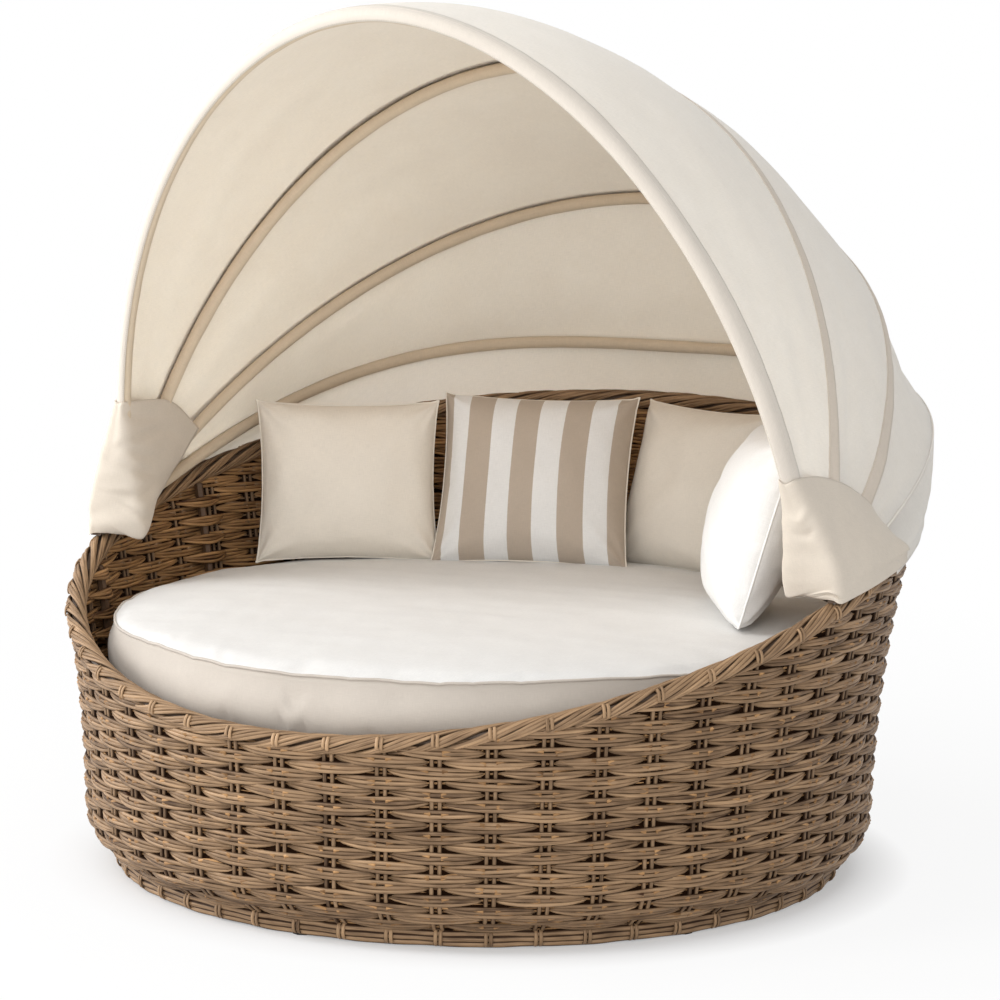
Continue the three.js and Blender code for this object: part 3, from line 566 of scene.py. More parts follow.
def tube_piece(name, material, path, up, radius, sides, closed=False):
    """A piece that is one round tube along a path."""
    heap = Heap()
    heap.add(sweep(path, up, radius, radius, sides, closed))
    return heap.mesh(name, material)


def get_points(mesh):
    """A mesh's points as an array."""
    points = np.zeros(len(mesh.vertices) * 3, np.float32)
    mesh.vertices.foreach_get("co", points)
    return points.reshape(-1, 3)


def set_points(mesh, points):
    """Moves a mesh's points to those of an array."""
    mesh.vertices.foreach_set("co", points.astype(np.float32).ravel())
    mesh.update()


def settle(piece, body, slot, *nodes):
    """Sets a piece on the body that carries it, and hides the solids that it stands for."""
    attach(piece, body)
    if nodes:
        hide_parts(*nodes)


def bow_line(bow, share, distance=0.0):
    """Points of a hoop in its own plane at shares of its length, pushed out of the arch by a distance.
    The hoop is a superellipse: x = w·cos^(2/p), y = h·sin^(2/p), measured along its length."""
    index, height, power, _ = BOWS[bow]
    width = INNER_BARREL + BARREL_SPACING * index
    first = math.asin((BOW_START / height) ** (power / 2))
    turn = np.linspace(first, math.pi - first, BOW_FINE_STEPS)
    x = width * np.sign(np.cos(turn)) * np.abs(np.cos(turn)) ** (2 / power)
    y = height * np.sin(turn) ** (2 / power)
    length = np.concatenate([[0], np.cumsum(np.hypot(np.diff(x), np.diff(y)))])
    at = np.asarray(share) * length[-1]
    px, py = np.interp(at, length, x), np.interp(at, length, y)
    step = length[-1] * 1e-3
    tx = np.interp(at + step, length, x) - np.interp(at - step, length, x)
    ty = np.interp(at + step, length, y) - np.interp(at - step, length, y)
    reach = np.hypot(tx, ty)
    return px + distance * ty / reach, py - distance * tx / reach


def at_angle(x, y, angle):
    """Sets points of a hoop's own plane at an angle in degrees about the pivots, from the front."""
    turn = math.pi - np.radians(angle)
    return np.stack(np.broadcast_arrays(x, PIVOT_Y + y * np.cos(turn), PIVOT_Z + y * np.sin(turn)), axis=-1)


def on_bow(bow, share, distance=0.0):
    """Points of a hoop where it stands at rest, pushed out of the arch by a distance."""
    return at_angle(*bow_line(bow, share, distance), BOWS[bow][3])


def bow_normal(bow):
    """The way forward and square to a hoop's plane."""
    turn = math.pi - math.radians(BOWS[bow][3])
    return np.array([0.0, -math.sin(turn), math.cos(turn)])


def canopy_surface(a, b, share, v, distance, sag=CLOTH_SAG):
    """The cloth between two hoops: their places at a share of their length, mixed by v, drawn in by
    a sag of 4v(1-v) that fades towards the pivots, at an angle that grows evenly with v."""
    ax, ay = bow_line(a, share, distance)
    bx, by = bow_line(b, share, distance)
    drawn = 1 - sag * 4 * v * (1 - v) * np.sin(share * math.pi)
    x, y = (ax + (bx - ax) * v) * drawn, (ay + (by - ay) * v) * drawn
    return at_angle(x, y, BOWS[a][3] + (BOWS[b][3] - BOWS[a][3]) * v)


def smooth_noise(points, scale, seed):
    """A soft random field: a sum of sines of the points in seeded directions, about -1 to 1."""
    rng = np.random.default_rng(seed)
    total = np.zeros(points.shape[:-1])
    for octave in range(3):
        for _ in range(4):
            way = unit(rng.standard_normal(3)) * TURN / scale * (1.7 ** octave) * rng.uniform(0.7, 1.3)
            total = total + np.sin(points @ way + rng.uniform(0, TURN)) / (2.2 * 1.6 ** octave)
    return total / 1.6


# Materials

def plain(written):
    """A written colour, 0 to 1 a channel, as the shader's linear values."""
    c = np.asarray(written, float)
    c = np.where(c <= 0.04045, c / 12.92, ((c + 0.055) / 1.055) ** 2.4)
    return (*map(float, c), 1.0)


def shader_of(tree, kind):
    """A new tree's own node of a kind."""
    return next(x for x in tree.nodes if x.type == kind)


class Nodes:
    """Short calls that add nodes to one tree and link them."""

    def __init__(self, tree):
        self.tree = tree

    def put(self, socket, value):
        if isinstance(value, bpy.types.NodeSocket):
            self.tree.links.new(value, socket)
        else:
            socket.default_value = value

    def add(self, kind, inputs=None, **settings):
        node = self.tree.nodes.new(kind)
        for key, value in settings.items():
            setattr(node, key, value)
        for key, value in (inputs or {}).items():
            self.put(node.inputs[key], value)
        return node

    def math(self, operation, *values):
        node = self.add("ShaderNodeMath", operation=operation)
        for socket, value in zip(node.inputs, values):
            self.put(socket, value)
        return node.outputs[0]

    def plus(self, first, *others):
        for other in others:
            first = self.math("ADD", first, other)
        return first

    def minus(self, a, b):
        return self.math("SUBTRACT", a, b)

    def times(self, a, b):
        return self.math("MULTIPLY", a, b)

    def held(self, value):
        return self.math("MAXIMUM", self.math("MINIMUM", value, 1.0), 0.0)

    def scaled(self, vector, scale):
        return self.add("ShaderNodeVectorMath", {0: vector, 1: scale}, operation="MULTIPLY").outputs[0]

    def apart(self, vector):
        return self.add("ShaderNodeSeparateXYZ", {"Vector": vector}).outputs

    def noise(self, vector, scale, detail=3.0, rough=0.55):
        inputs = {"Vector": vector, "Scale": scale, "Detail": detail, "Roughness": rough}
        return self.add("ShaderNodeTexNoise", inputs).outputs["Fac"]

    def mix(self, factor, a, b):
        return self.add("ShaderNodeMix", {0: factor, 6: a, 7: b}, data_type="RGBA").outputs[2]

    def span(self, value, low, high, to_low=0.0, to_high=1.0):
        inputs = {"Value": value, "From Min": low, "From Max": high, "To Min": to_low, "To Max": to_high}
        return self.add("ShaderNodeMapRange", inputs).outputs["Result"]

    def seen(self):
        """1 for what the camera sees, also in gloss and through glass."""
        ray = self.add("ShaderNodeLightPath").outputs
        other = self.math("MAXIMUM", ray["Is Glossy Ray"], ray["Is Transmission Ray"])
        return self.math("MAXIMUM", ray["Is Camera Ray"], other)


def new_group(name, **values):
    """An empty shader node group that takes a vector and named values, and gives a mask and a height."""
    tree = bpy.data.node_groups.new(name, "ShaderNodeTree")
    tree.interface.new_socket("Vector", in_out="INPUT", socket_type="NodeSocketVector")
    for title, default in values.items():
        socket = tree.interface.new_socket(title, in_out="INPUT", socket_type="NodeSocketFloat")
        socket.default_value = default
    for title in ("Mask", "Height"):
        tree.interface.new_socket(title, in_out="OUTPUT", socket_type="NodeSocketFloat")
    given = tree.nodes.new("NodeGroupInput").outputs
    return tree, Nodes(tree), given, tree.nodes.new("NodeGroupOutput").inputs


def strand_group():
    """Streaks along a strand, blotches along its length, its own tone and painted shade along its two sides,
    where the strands of a bundle meet, as a mask and a height."""
    tree, n, given, out = new_group("Strand grain", Tone=0.5, Streaks=0.75, Grime=0.62)
    vector = given["Vector"]
    streak = n.noise(n.scaled(vector, (14.0, 520.0, 520.0)), 1.0, 3.0, 0.6)
    blotch = n.noise(n.scaled(vector, (16.0, 40.0, 40.0)), 1.0, 2.0)
    fine = n.noise(n.scaled(vector, (160.0, 900.0, 900.0)), 1.0, 2.0)
    streak = n.times(n.minus(streak, 0.5), given["Streaks"])
    mask = n.plus(n.times(streak, 1.3), given["Tone"], n.times(n.minus(blotch, 0.5), 0.8))
    # Painted shade: the colour darkens along each strand's upper and lower sides, where it meets its
    # neighbours.
    side = n.span(n.math("ABSOLUTE", n.apart(vector)["Z"]), 0.0025, 0.0044)
    n.put(out["Mask"], n.held(n.minus(mask, n.times(side, given["Grime"]))))
    n.put(out["Height"], n.plus(streak, n.times(fine, 0.35)))
    return tree


def cloth_group():
    """A plain weave of crossing threads with slubs, and soft broad shading, as a mask and a height."""
    tree, n, given, out = new_group("Cloth weave", Threads=900.0, Slub=1.0)
    vector = given["Vector"]
    apart = n.apart(vector)
    turns = n.times(given["Threads"], math.pi)
    cross = n.times(*(n.math("SINE", n.times(apart[axis], turns)) for axis in ("X", "Y")))
    slubs = (n.noise(n.scaled(vector, way), 1.0, 2.0) for way in ((60.0, 900.0, 60.0), (900.0, 60.0, 60.0)))
    slub = n.times(n.minus(n.plus(*slubs), 1.0), given["Slub"])
    broad = n.minus(n.noise(vector, 9.0), 0.5)
    # Painted shade: the threads' crossing darkens the colour in the hollows between them, where the height is
    # low.
    mask = n.plus(n.times(cross, 0.10), n.times(slub, 0.75), n.times(broad, 0.5), 0.5)
    n.put(out["Mask"], n.held(mask))
    n.put(out["Height"], n.plus(n.times(cross, 0.5), slub))
    return tree


def wear_group():
    """Fine speckle with broader worn patches, as a mask and a height."""
    tree, n, given, out = new_group("Speckle and wear", Scale=300.0, Wear=0.4)
    fine = n.noise(given["Vector"], given["Scale"])
    broad = n.noise(given["Vector"], 14.0, 4.0, 0.65)
    mask = n.plus(n.times(fine, 0.5), n.times(n.minus(broad, 0.5), given["Wear"]), 0.25)
    n.put(out["Mask"], n.held(mask))
    n.put(out["Height"], fine)
    return tree


GROUP_MAKERS = {"strand": strand_group, "cloth": cloth_group, "wear": wear_group}
GROUPS = {}


def group(name):
    """The named node group, built once."""
    if name not in GROUPS:
        GROUPS[name] = GROUP_MAKERS[name]()
    return GROUPS[name]


def finish(name, kind, dark, light, rough=(0.6, 0.8), bump=0.3, depth=0.001, metallic=0.0, sheen=0.0,
           thin=0.0, gloss=0.5, values=None, paint=None):
    """A material: one node group's mask mixes two colours and sets the roughness, its height the bump.
    paint may change the colour before it reaches the shader."""
    material = bpy.data.materials.new(name)
    material.use_nodes = True
    tree = material.node_tree
    sockets = shader_of(tree, "BSDF_PRINCIPLED").inputs
    n = Nodes(tree)
    if kind == "wear":
        vector = n.add("ShaderNodeTexCoord").outputs["Object"]
    else:
        vector = n.add("ShaderNodeAttribute", attribute_name="flow").outputs["Vector"]
    pattern = n.add("ShaderNodeGroup", node_tree=group(kind))
    n.put(pattern.inputs["Vector"], vector)
    if kind == "strand":
        n.put(pattern.inputs["Tone"], n.add("ShaderNodeAttribute", attribute_name="tone").outputs["Fac"])
    for key, value in (values or {}).items():
        pattern.inputs[key].default_value = value
    mask, height = pattern.outputs["Mask"], pattern.outputs["Height"]
    mixed = n.mix(mask, plain(dark), plain(light))
    if paint:
        mixed = paint(n, mixed, vector, mask)
    n.put(sockets["Base Color"], mixed)
    n.put(sockets["Roughness"], n.span(mask, 0.0, 1.0, rough[1], rough[0]))
    relief = n.add("ShaderNodeBump", {"Height": height, "Strength": bump, "Distance": depth})
    n.put(sockets["Normal"], relief.outputs["Normal"])
    sockets["Metallic"].default_value = metallic
    sockets["Specular IOR Level"].default_value = gloss
    if thin:
        sockets["Subsurface Weight"].default_value = thin
        sockets["Subsurface Radius"].default_value = (1.0, 1.0, 1.0)
        sockets["Subsurface Scale"].default_value = THIN_CLOTH_DEPTH
    if sheen:
        sockets["Sheen Weight"].default_value = sheen
        sockets["Sheen Roughness"].default_value = 0.5
    return material


def strand_finish(name, s, darker=1.0, lighter=1.0, **more):
    """A strand's finish, its two colours the settings' times a share."""
    dark, light = np.array(s.dark) * darker, np.minimum(np.array(s.light) * lighter, 1)
    given = {"rough": (0.42, 0.66), "bump": 0.35, "depth": 0.0008, "gloss": 0.3, **more}
    return finish(name, "strand", dark, light, **given)


def cloth(name, written, threads, **more):
    """A cloth finish: the colour, and a slightly darker one, which the mask lays as painted shade in the
    weave's hollows and on darker slubs and patches.
    """
    written = np.asarray(written, float)
    return finish(name, "cloth", written * 0.93, np.minimum(written * 1.025, 1), rough=(0.82, 0.95),
                  bump=0.25, depth=0.0006, sheen=0.12, values={"Threads": threads}, **more)


# Weave, rim and border

def weave_rows(settings):
    """Heights of the rows of weaving, from the border up to the highest part of the rim."""
    first = BORDER_TOP + settings.row * 0.6
    return np.arange(first, RIM_BACK - ROW_UNDER_RIM, settings.row)


class DAYBED_OT_weave(bpy.types.Operator):
    """Weave the basket wall from bundles of three strands over pairs of rods"""
    bl_idname = "daybed.weave"
    bl_label = "Basket weave"

    def execute(self, context):
        s = context.scene.daybed_weave
        rng = np.random.default_rng(11)
        strands = strand_finish("Woven strand", s)
        rods = strand_finish("Stake rod", s, 0.95, 0.95, rough=(0.45, 0.68), bump=0.3)
        # Painted light: the inside bundles take a lighter, warmer copy of the strand colours, for the
        # brighter light inside the basket.
        lining = strand_finish("Woven strand inside painted lighter", s, (1.15, 1.08, 0.92), (1.12, 1.06, 0.94))
        rows = weave_rows(s)
        for where, material in enumerate((strands, lining)):
            for number, band in enumerate(np.array_split(np.arange(len(rows)), WEAVE_BANDS)):
                heap = Heap()
                for j in band:
                    stakes = np.arange(s.stakes)
                    stakes = stakes[(stakes + j + where) % 2 == 0]
                    stakes = stakes[rim_height(stakes / s.stakes * TURN) - WEAVE_UNDER_RIM > rows[j]]
                    if len(stakes):
                        self.bundles(heap, s, rows[j], j, stakes, 1 - 2 * where, rng)
                piece = heap.mesh(f"weave_{('outside', 'inside')[where]}_{number + 1}", material)
                settle(piece, "basket", "wicker", "wicker_wall")
        self.rods(s, rods, rng)
        self.gap_shade_sheet(s)
        heap = Heap()
        for i in range(UPRIGHTS):
            turn = (i + 0.5) / UPRIGHTS * TURN
            reached = rows[(rows > UPRIGHT_WEAVE_LOW) & (rows < rim_height(turn) - ROW_UNDER_RIM)][i % 2::2]
            if len(reached):
                self.over_upright(heap, s, reached, turn, rng)
        # The bundles round the uprights take the same lighter copy, painted light.
        settle(heap.mesh("weave_over_uprights", lining), "basket", "wicker")
        return {"FINISHED"}

    @staticmethod
    def bundles(heap, s, z, row, stakes, way, rng):
        """The bundles of one row over every other pair of rods, way 1 outside and -1 inside: three
        strands side by side. With p from -1 to 1 along a bundle, they spread as sqrt(1 - p²), and lie
        off the rods until they dive behind the next ones with |p|^2.2."""
        count = len(stakes)
        p = np.linspace(-1, 1, BUNDLE_POINTS)[None]
        shape = np.sqrt(1 - (BUNDLE_ROUND * p) ** 2)
        place = stakes[:, None] + p * BUNDLE_REACH + rng.normal(0, 0.012, (count, 1))
        turn = place / s.stakes * TURN
        tilt = rng.normal(0, 0.0012, (count, 1))
        sink = BUNDLE_SINK + rng.normal(0, 0.0006, (count, 1))
        wave = 0.0012 * np.sin(turn * 3 + row * 1.7) + 0.0008 * np.sin(turn * 11 + row * 2.9)
        for k in STRANDS:
            wander = (rng.normal(0, 0.0005, (count, 1))
                      + 0.0006 * np.sin(p * 4 + rng.uniform(0, TURN, (count, 1))))
            height = z + wave + tilt * p - sink * shape + wander + k * (0.0004 + BUNDLE_APART * shape)
            height = np.minimum(height, rim_height(turn) - STRAND_UNDER_RIM)
            out = (BUNDLE_OUT - 0.0008 * abs(k) - BUNDLE_DIVE * np.abs(p) ** BUNDLE_DIVE_POWER
                   - 0.0006 * k * (1 - shape))
            path = around(turn, wall_radius(height) - WEAVE_DEPTH + way * out, height)
            wide = s.strand / 2 * (0.66 + 0.40 * shape) * (1 + rng.normal(0, 0.05, (count, 1)))
            thick = s.thickness / 2 * (0.8 + 0.2 * shape)
            made = sweep_many(path, wide, thick, STRAND_SIDES, rng.uniform(0, FLOW_START, count))
            tones = np.clip(0.5 + rng.normal(0, 0.07) + rng.normal(0, 0.10, count), 0.05, 0.95)
            heap.add(made, np.repeat(tones, BUNDLE_POINTS * STRAND_SIDES + 2))

    @staticmethod
    def rods(s, material, rng):
        """Pairs of upright rods in the middle of the weave, round tubes from the border to the rim."""
        heap = Heap()
        for t in np.arange(s.stakes) / s.stakes * TURN:
            for side in (-1, 1):
                z = np.linspace(BORDER_LOW + ROD_FOOT, rim_height(t) - ROD_UNDER_RIM, ROD_POINTS)
                radius = wall_radius(z) - WEAVE_DEPTH
                path = around(t + side * ROD_ASIDE / radius, radius, z)
                start = rng.uniform(0, FLOW_START)
                made = sweep(path, sideways(t), s.rod / 2, s.rod / 2, ROD_SIDES, start=start)
                heap.add(made, rng.normal(0.48, 0.10))
        settle(heap.mesh("weave_stakes", material), "basket", "wicker", "wicker_wall")

    @staticmethod
    def gap_shade_sheet(s):
        """A dark sheet of painted shade in the middle of the wall, which the gaps of the weave show. It
        stands out under the
        outer bundles and in behind the gaps: radius = wall - 7 mm + 4.5 mm·cos(pi·stake)·cos(pi·row)."""
        # Painted shade: dark colours that stand for the shade seen through the weave's gaps.
        dark = finish("Weave shade", "strand", (0.075, 0.037, 0.014), (0.17, 0.092, 0.042),
                      rough=(0.8, 0.95), bump=0.4, depth=0.001, gloss=0.05)
        columns = s.stakes * SHADE_COLUMNS
        turn = np.arange(columns)[None] / columns * TURN
        share = np.linspace(0, 1, SHADE_ROWS)[:, None]
        z = (BORDER_TOP - SHADE_UNDER_BORDER
             + (rim_height(turn) - SHADE_UNDER_RIM - BORDER_TOP) * share)
        row = (z + BUNDLE_SINK - weave_rows(s)[0]) / s.row
        relief = SHADE_RELIEF * np.cos(turn * s.stakes / 2) * np.cos(math.pi * row)
        radius = wall_radius(z) - WEAVE_DEPTH + relief
        outer, inner = (around(turn, radius + aside, z) for aside in (SHADE_HALF, -SHADE_HALF))
        points, quads, flow, _ = sheet_shell(outer, inner, closed=True)
        piece = new_piece("weave_gap_shade_sheet", points, quads, flow, [dark], tone=0.4)
        settle(piece, "basket", "wicker", "wicker_wall")

    @staticmethod
    def over_upright(heap, s, rows, turn, rng):
        """Bundles that go round an upright inside the wall: every other row lies over it with a rise of
        cos(p·90 degrees), p from -1 to 1 along a bundle."""
        many = len(rows)
        p = np.linspace(-1, 1, UPRIGHT_BUNDLE_POINTS)[None]
        rise = np.cos(p * math.pi / 2) ** 0.9
        for k in STRANDS:
            z = rows[:, None] + k * (0.0012 + UPRIGHT_BUNDLE_APART * rise) + rng.normal(0, 0.0006, (many, 1))
            place = turn + (p * UPRIGHT_BUNDLE_REACH + rng.normal(0, 0.002, (many, 1))) / wall_radius(z)
            path = around(place, wall_radius(z) - UPRIGHT_BUNDLE_DEPTH - UPRIGHT_STAND_OFF * rise, z)
            wide = s.strand / 2 * (0.7 + 0.3 * rise)
            made = sweep_many(path, wide, s.thickness / 2, STRAND_SIDES, rng.uniform(0, FLOW_START, many))
            tones = np.clip(0.45 + rng.normal(0, 0.12, many), 0.05, 0.95)
            heap.add(made, np.repeat(tones, UPRIGHT_BUNDLE_POINTS * STRAND_SIDES + 2))


class DAYBED_OT_rim(bpy.types.Operator):
    """Twist the strands of the rim and of the lower border, and wrap them at each pair of rods"""
    bl_idname = "daybed.rim"
    bl_label = "Rim and border"

    def execute(self, context):
        s = context.scene.daybed_weave
        rng = np.random.default_rng(12)
        strands = strand_finish("Rim strand", s, 1.0, 1.04, bump=0.4, depth=0.0009)
        self.twist(strands, rng)
        self.loops(s, strands, rng)
        self.border(s, strands, rng)
        self.wraps(s, strands, rng)
        return {"FINISHED"}

    @staticmethod
    def twist(material, rng):
        """Plies of three strands that turn round the rim's middle line: angle = 13·turn + ply, with the
        three spread and pushed out as sin(2·angle)."""
        heap = Heap()
        turn = np.arange(RIM_POINTS) / RIM_POINTS * TURN
        centre = braid_middle(turn)
        tangent = along_path(centre, True)
        out = unit(np.cross(tangent, UPWARDS))
        up = np.cross(out, tangent)
        for ply in range(RIM_PLIES):
            lay = turn * RIM_TWISTS + ply * TURN / RIM_PLIES + 0.10 * np.sin(turn * 9 + ply * 2.4)
            swell = 0.5 + 0.5 * np.sin(lay * 2 + 0.6)
            tone = rng.normal(0.56, 0.06)
            for k in STRANDS:
                angle = lay + k * (0.21 + 0.15 * swell) + 0.03 * np.sin(turn * 31 + 2 * k + ply)
                reach = (RIM_REACH + 0.0020 * swell - 0.0008 * abs(k)
                         + 0.0004 * np.sin(turn * 47 + 3 * k + ply))
                path = centre + out * (reach * np.cos(angle))[:, None] + up * (reach * np.sin(angle))[:, None]
                way = out * -np.sin(angle)[:, None] + up * np.cos(angle)[:, None]
                made = sweep(path, way, *RIM_STRAND, STRAND_SIDES, True, rng.uniform(0, FLOW_START))
                heap.add(made, np.clip(tone + rng.normal(0, 0.10), 0.1, 0.95))
        settle(heap.mesh("rim_twist", material), "basket", "wicker", "rim_braid")

    @staticmethod
    def loops(s, material, rng):
        """Two short arcs over the rim's outside at each pair of rods, their ends bent into the braid."""
        heap = Heap()
        for i in range(s.stakes):
            for k, aside in enumerate((-LOOP_ASIDE, LOOP_ASIDE)):
                turn = i / s.stakes * TURN + aside / RIM_RADIUS
                middle = braid_middle(turn)
                out = np.array([math.sin(turn), -math.cos(turn), 0.0])
                low = -0.15 - 0.12 * k + 0.06 * rng.standard_normal()
                a = np.linspace(low, 0.80 + 0.06 * rng.standard_normal(), 9)
                reach = LOOP_REACH + 0.0004 * rng.standard_normal()
                path = middle + out * (reach * np.cos(a))[:, None] + UPWARDS * (reach * np.sin(a))[:, None]
                path = np.vstack([middle + (path[0] - middle) * LOOP_ENDS[0], path,
                                  middle + (path[-1] - middle) * LOOP_ENDS[1]])
                start = rng.uniform(0, FLOW_START)
                made = sweep(path, sideways(turn), *LOOP_STRAND, STRAND_SIDES, start=start)
                heap.add(made, rng.normal(0.68, 0.10))
        settle(heap.mesh("rim_loops", material), "basket", "wicker")

    @staticmethod
    def border(s, material, rng):
        """Rings of strands at the basket's foot, waved a little in and out and up and down."""
        heap = Heap()
        turn = np.arange(BORDER_POINTS) / BORDER_POINTS * TURN
        for k, (z, out, wide) in enumerate(BORDER_STRANDS):
            wave = 0.0012 * np.sin(turn * s.stakes + k)
            path = around(turn, BORDER_RADIUS + out + wave, z + 0.0008 * np.sin(turn * 23 + k))
            made = sweep(path, UPWARDS, wide, BORDER_HALF, 8, True, rng.uniform(0, FLOW_START))
            heap.add(made, rng.normal(0.5, 0.1))
        settle(heap.mesh("border_strands", material), "basket", "wicker", "base_border")

    @staticmethod
    def wraps(s, material, rng):
        """Two arcs over the border at each pair of rods, out as cos(1.35·a) and up as sin(1.5·a)."""
        heap = Heap()
        a = np.linspace(-0.9, 0.9, 7)
        z = WRAP_MIDDLE + WRAP_HALF_HEIGHT * np.sin(a * 1.5)
        radius = BORDER_RADIUS + WRAP_INSIDE + WRAP_REACH * np.cos(a * 1.35)
        for i in range(s.stakes):
            for aside in (-WRAP_ASIDE, WRAP_ASIDE):
                turn = i / s.stakes * TURN + aside / WRAP_TURN_RADIUS
                start = rng.uniform(0, FLOW_START)
                made = sweep(around(turn, radius, z), sideways(turn), *WRAP_STRAND, STRAND_SIDES, start=start)
                heap.add(made, rng.normal(0.6, 0.1))
        settle(heap.mesh("border_wraps", material), "basket", "wicker")


# Cushions

def puffed(piece, pressure, frames, cap):
    """Blows a closed mesh up as cloth under pressure, without gravity, and keeps each point within cap
    of where it began. The result is the mesh's own points."""
    modifier = piece.modifiers.new("puff", "CLOTH")
    c = modifier.settings
    c.quality = 5
    c.mass = 0.3
    c.tension_stiffness = CLOTH_STIFFNESS
    c.compression_stiffness = CLOTH_STIFFNESS
    c.shear_stiffness = CLOTH_STIFFNESS * 0.6
    c.bending_stiffness = 0.4
    c.use_pressure = True
    c.uniform_pressure_force = pressure
    c.effector_weights.gravity = 0
    c.air_damping = 4
    modifier.collision_settings.use_collision = False
    modifier.point_cache.frame_start, modifier.point_cache.frame_end = 1, frames
    for number in range(1, frames + 1):
        bpy.context.scene.frame_set(number)
    shown = piece.evaluated_get(bpy.context.evaluated_depsgraph_get())
    end = get_points(shown.data)
    piece.modifiers.remove(modifier)
    bpy.context.scene.frame_set(1)
    start = get_points(piece.data)
    move = end - start
    move *= np.minimum(1, cap / np.maximum(np.linalg.norm(move, axis=1, keepdims=True), 1e-9))
    return start + move


def cushion_grid(width, height, thickness, steps, pinch=CUSHION_PINCH):
    """Front and back of a crowned cushion standing on its lower edge in the XZ plane. Its sides draw
    in between pointed corners, x = w/2·u(1-p(1-v²)), and its half thickness is a dome
    ((1-u²)(1-v²))^0.55."""
    line = np.sin(np.linspace(-1, 1, steps) * math.pi / 2 * 0.92) / math.sin(math.pi / 2 * 0.92)
    v, u = np.meshgrid(line, line, indexing="ij")
    x = width / 2 * u * (1 - pinch * (1 - v * v))
    z = height / 2 * (1 + v * (1 - pinch * (1 - u * u)))
    y = (thickness / 2) * ((1 - u * u) * (1 - v * v)) ** CUSHION_DOME
    return x, y, z, u, v


def placed(points, name):
    """Turns, leans and sets a cushion where its solid stands, from its own upright place."""
    *_, x, y, yaw, lean = CUSHIONS[name]
    a, b = math.radians(-lean), math.radians(yaw)
    about_x = np.array([[1, 0, 0], [0, math.cos(a), -math.sin(a)], [0, math.sin(a), math.cos(a)]])
    about_z = np.array([[math.cos(b), -math.sin(b), 0], [math.sin(b), math.cos(b), 0], [0, 0, 1]])
    turn = about_z @ about_x
    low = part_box(name)[0][2] - cushion_low(name, turn)
    return points @ turn.T + np.array([x * SEAT_RADIUS, y * SEAT_RADIUS, low])


def cushion_low(name, turn):
    """Lowest height of the turned and leaned CAD shape before it is set down."""
    width, height, thickness = (CUSHION_WIDTH * share for share in CUSHIONS[name][:3])
    x, y, z, _, _ = cushion_grid(width, height, thickness - CUSHION_SWELL, 33)
    y = y + CUSHION_SWELL / 2
    points = np.concatenate([np.stack([x, side * y, z], -1).reshape(-1, 3) for side in (-1, 1)])
    return float((points @ turn.T)[:, 2].min())


def seam_ring(n):
    """Indices of the border points of a square grid of n by n, once round."""
    line = np.arange(n - 1)
    return np.concatenate([line, line * n + n - 1, n * n - 1 - line, (n - 1 - line) * n])


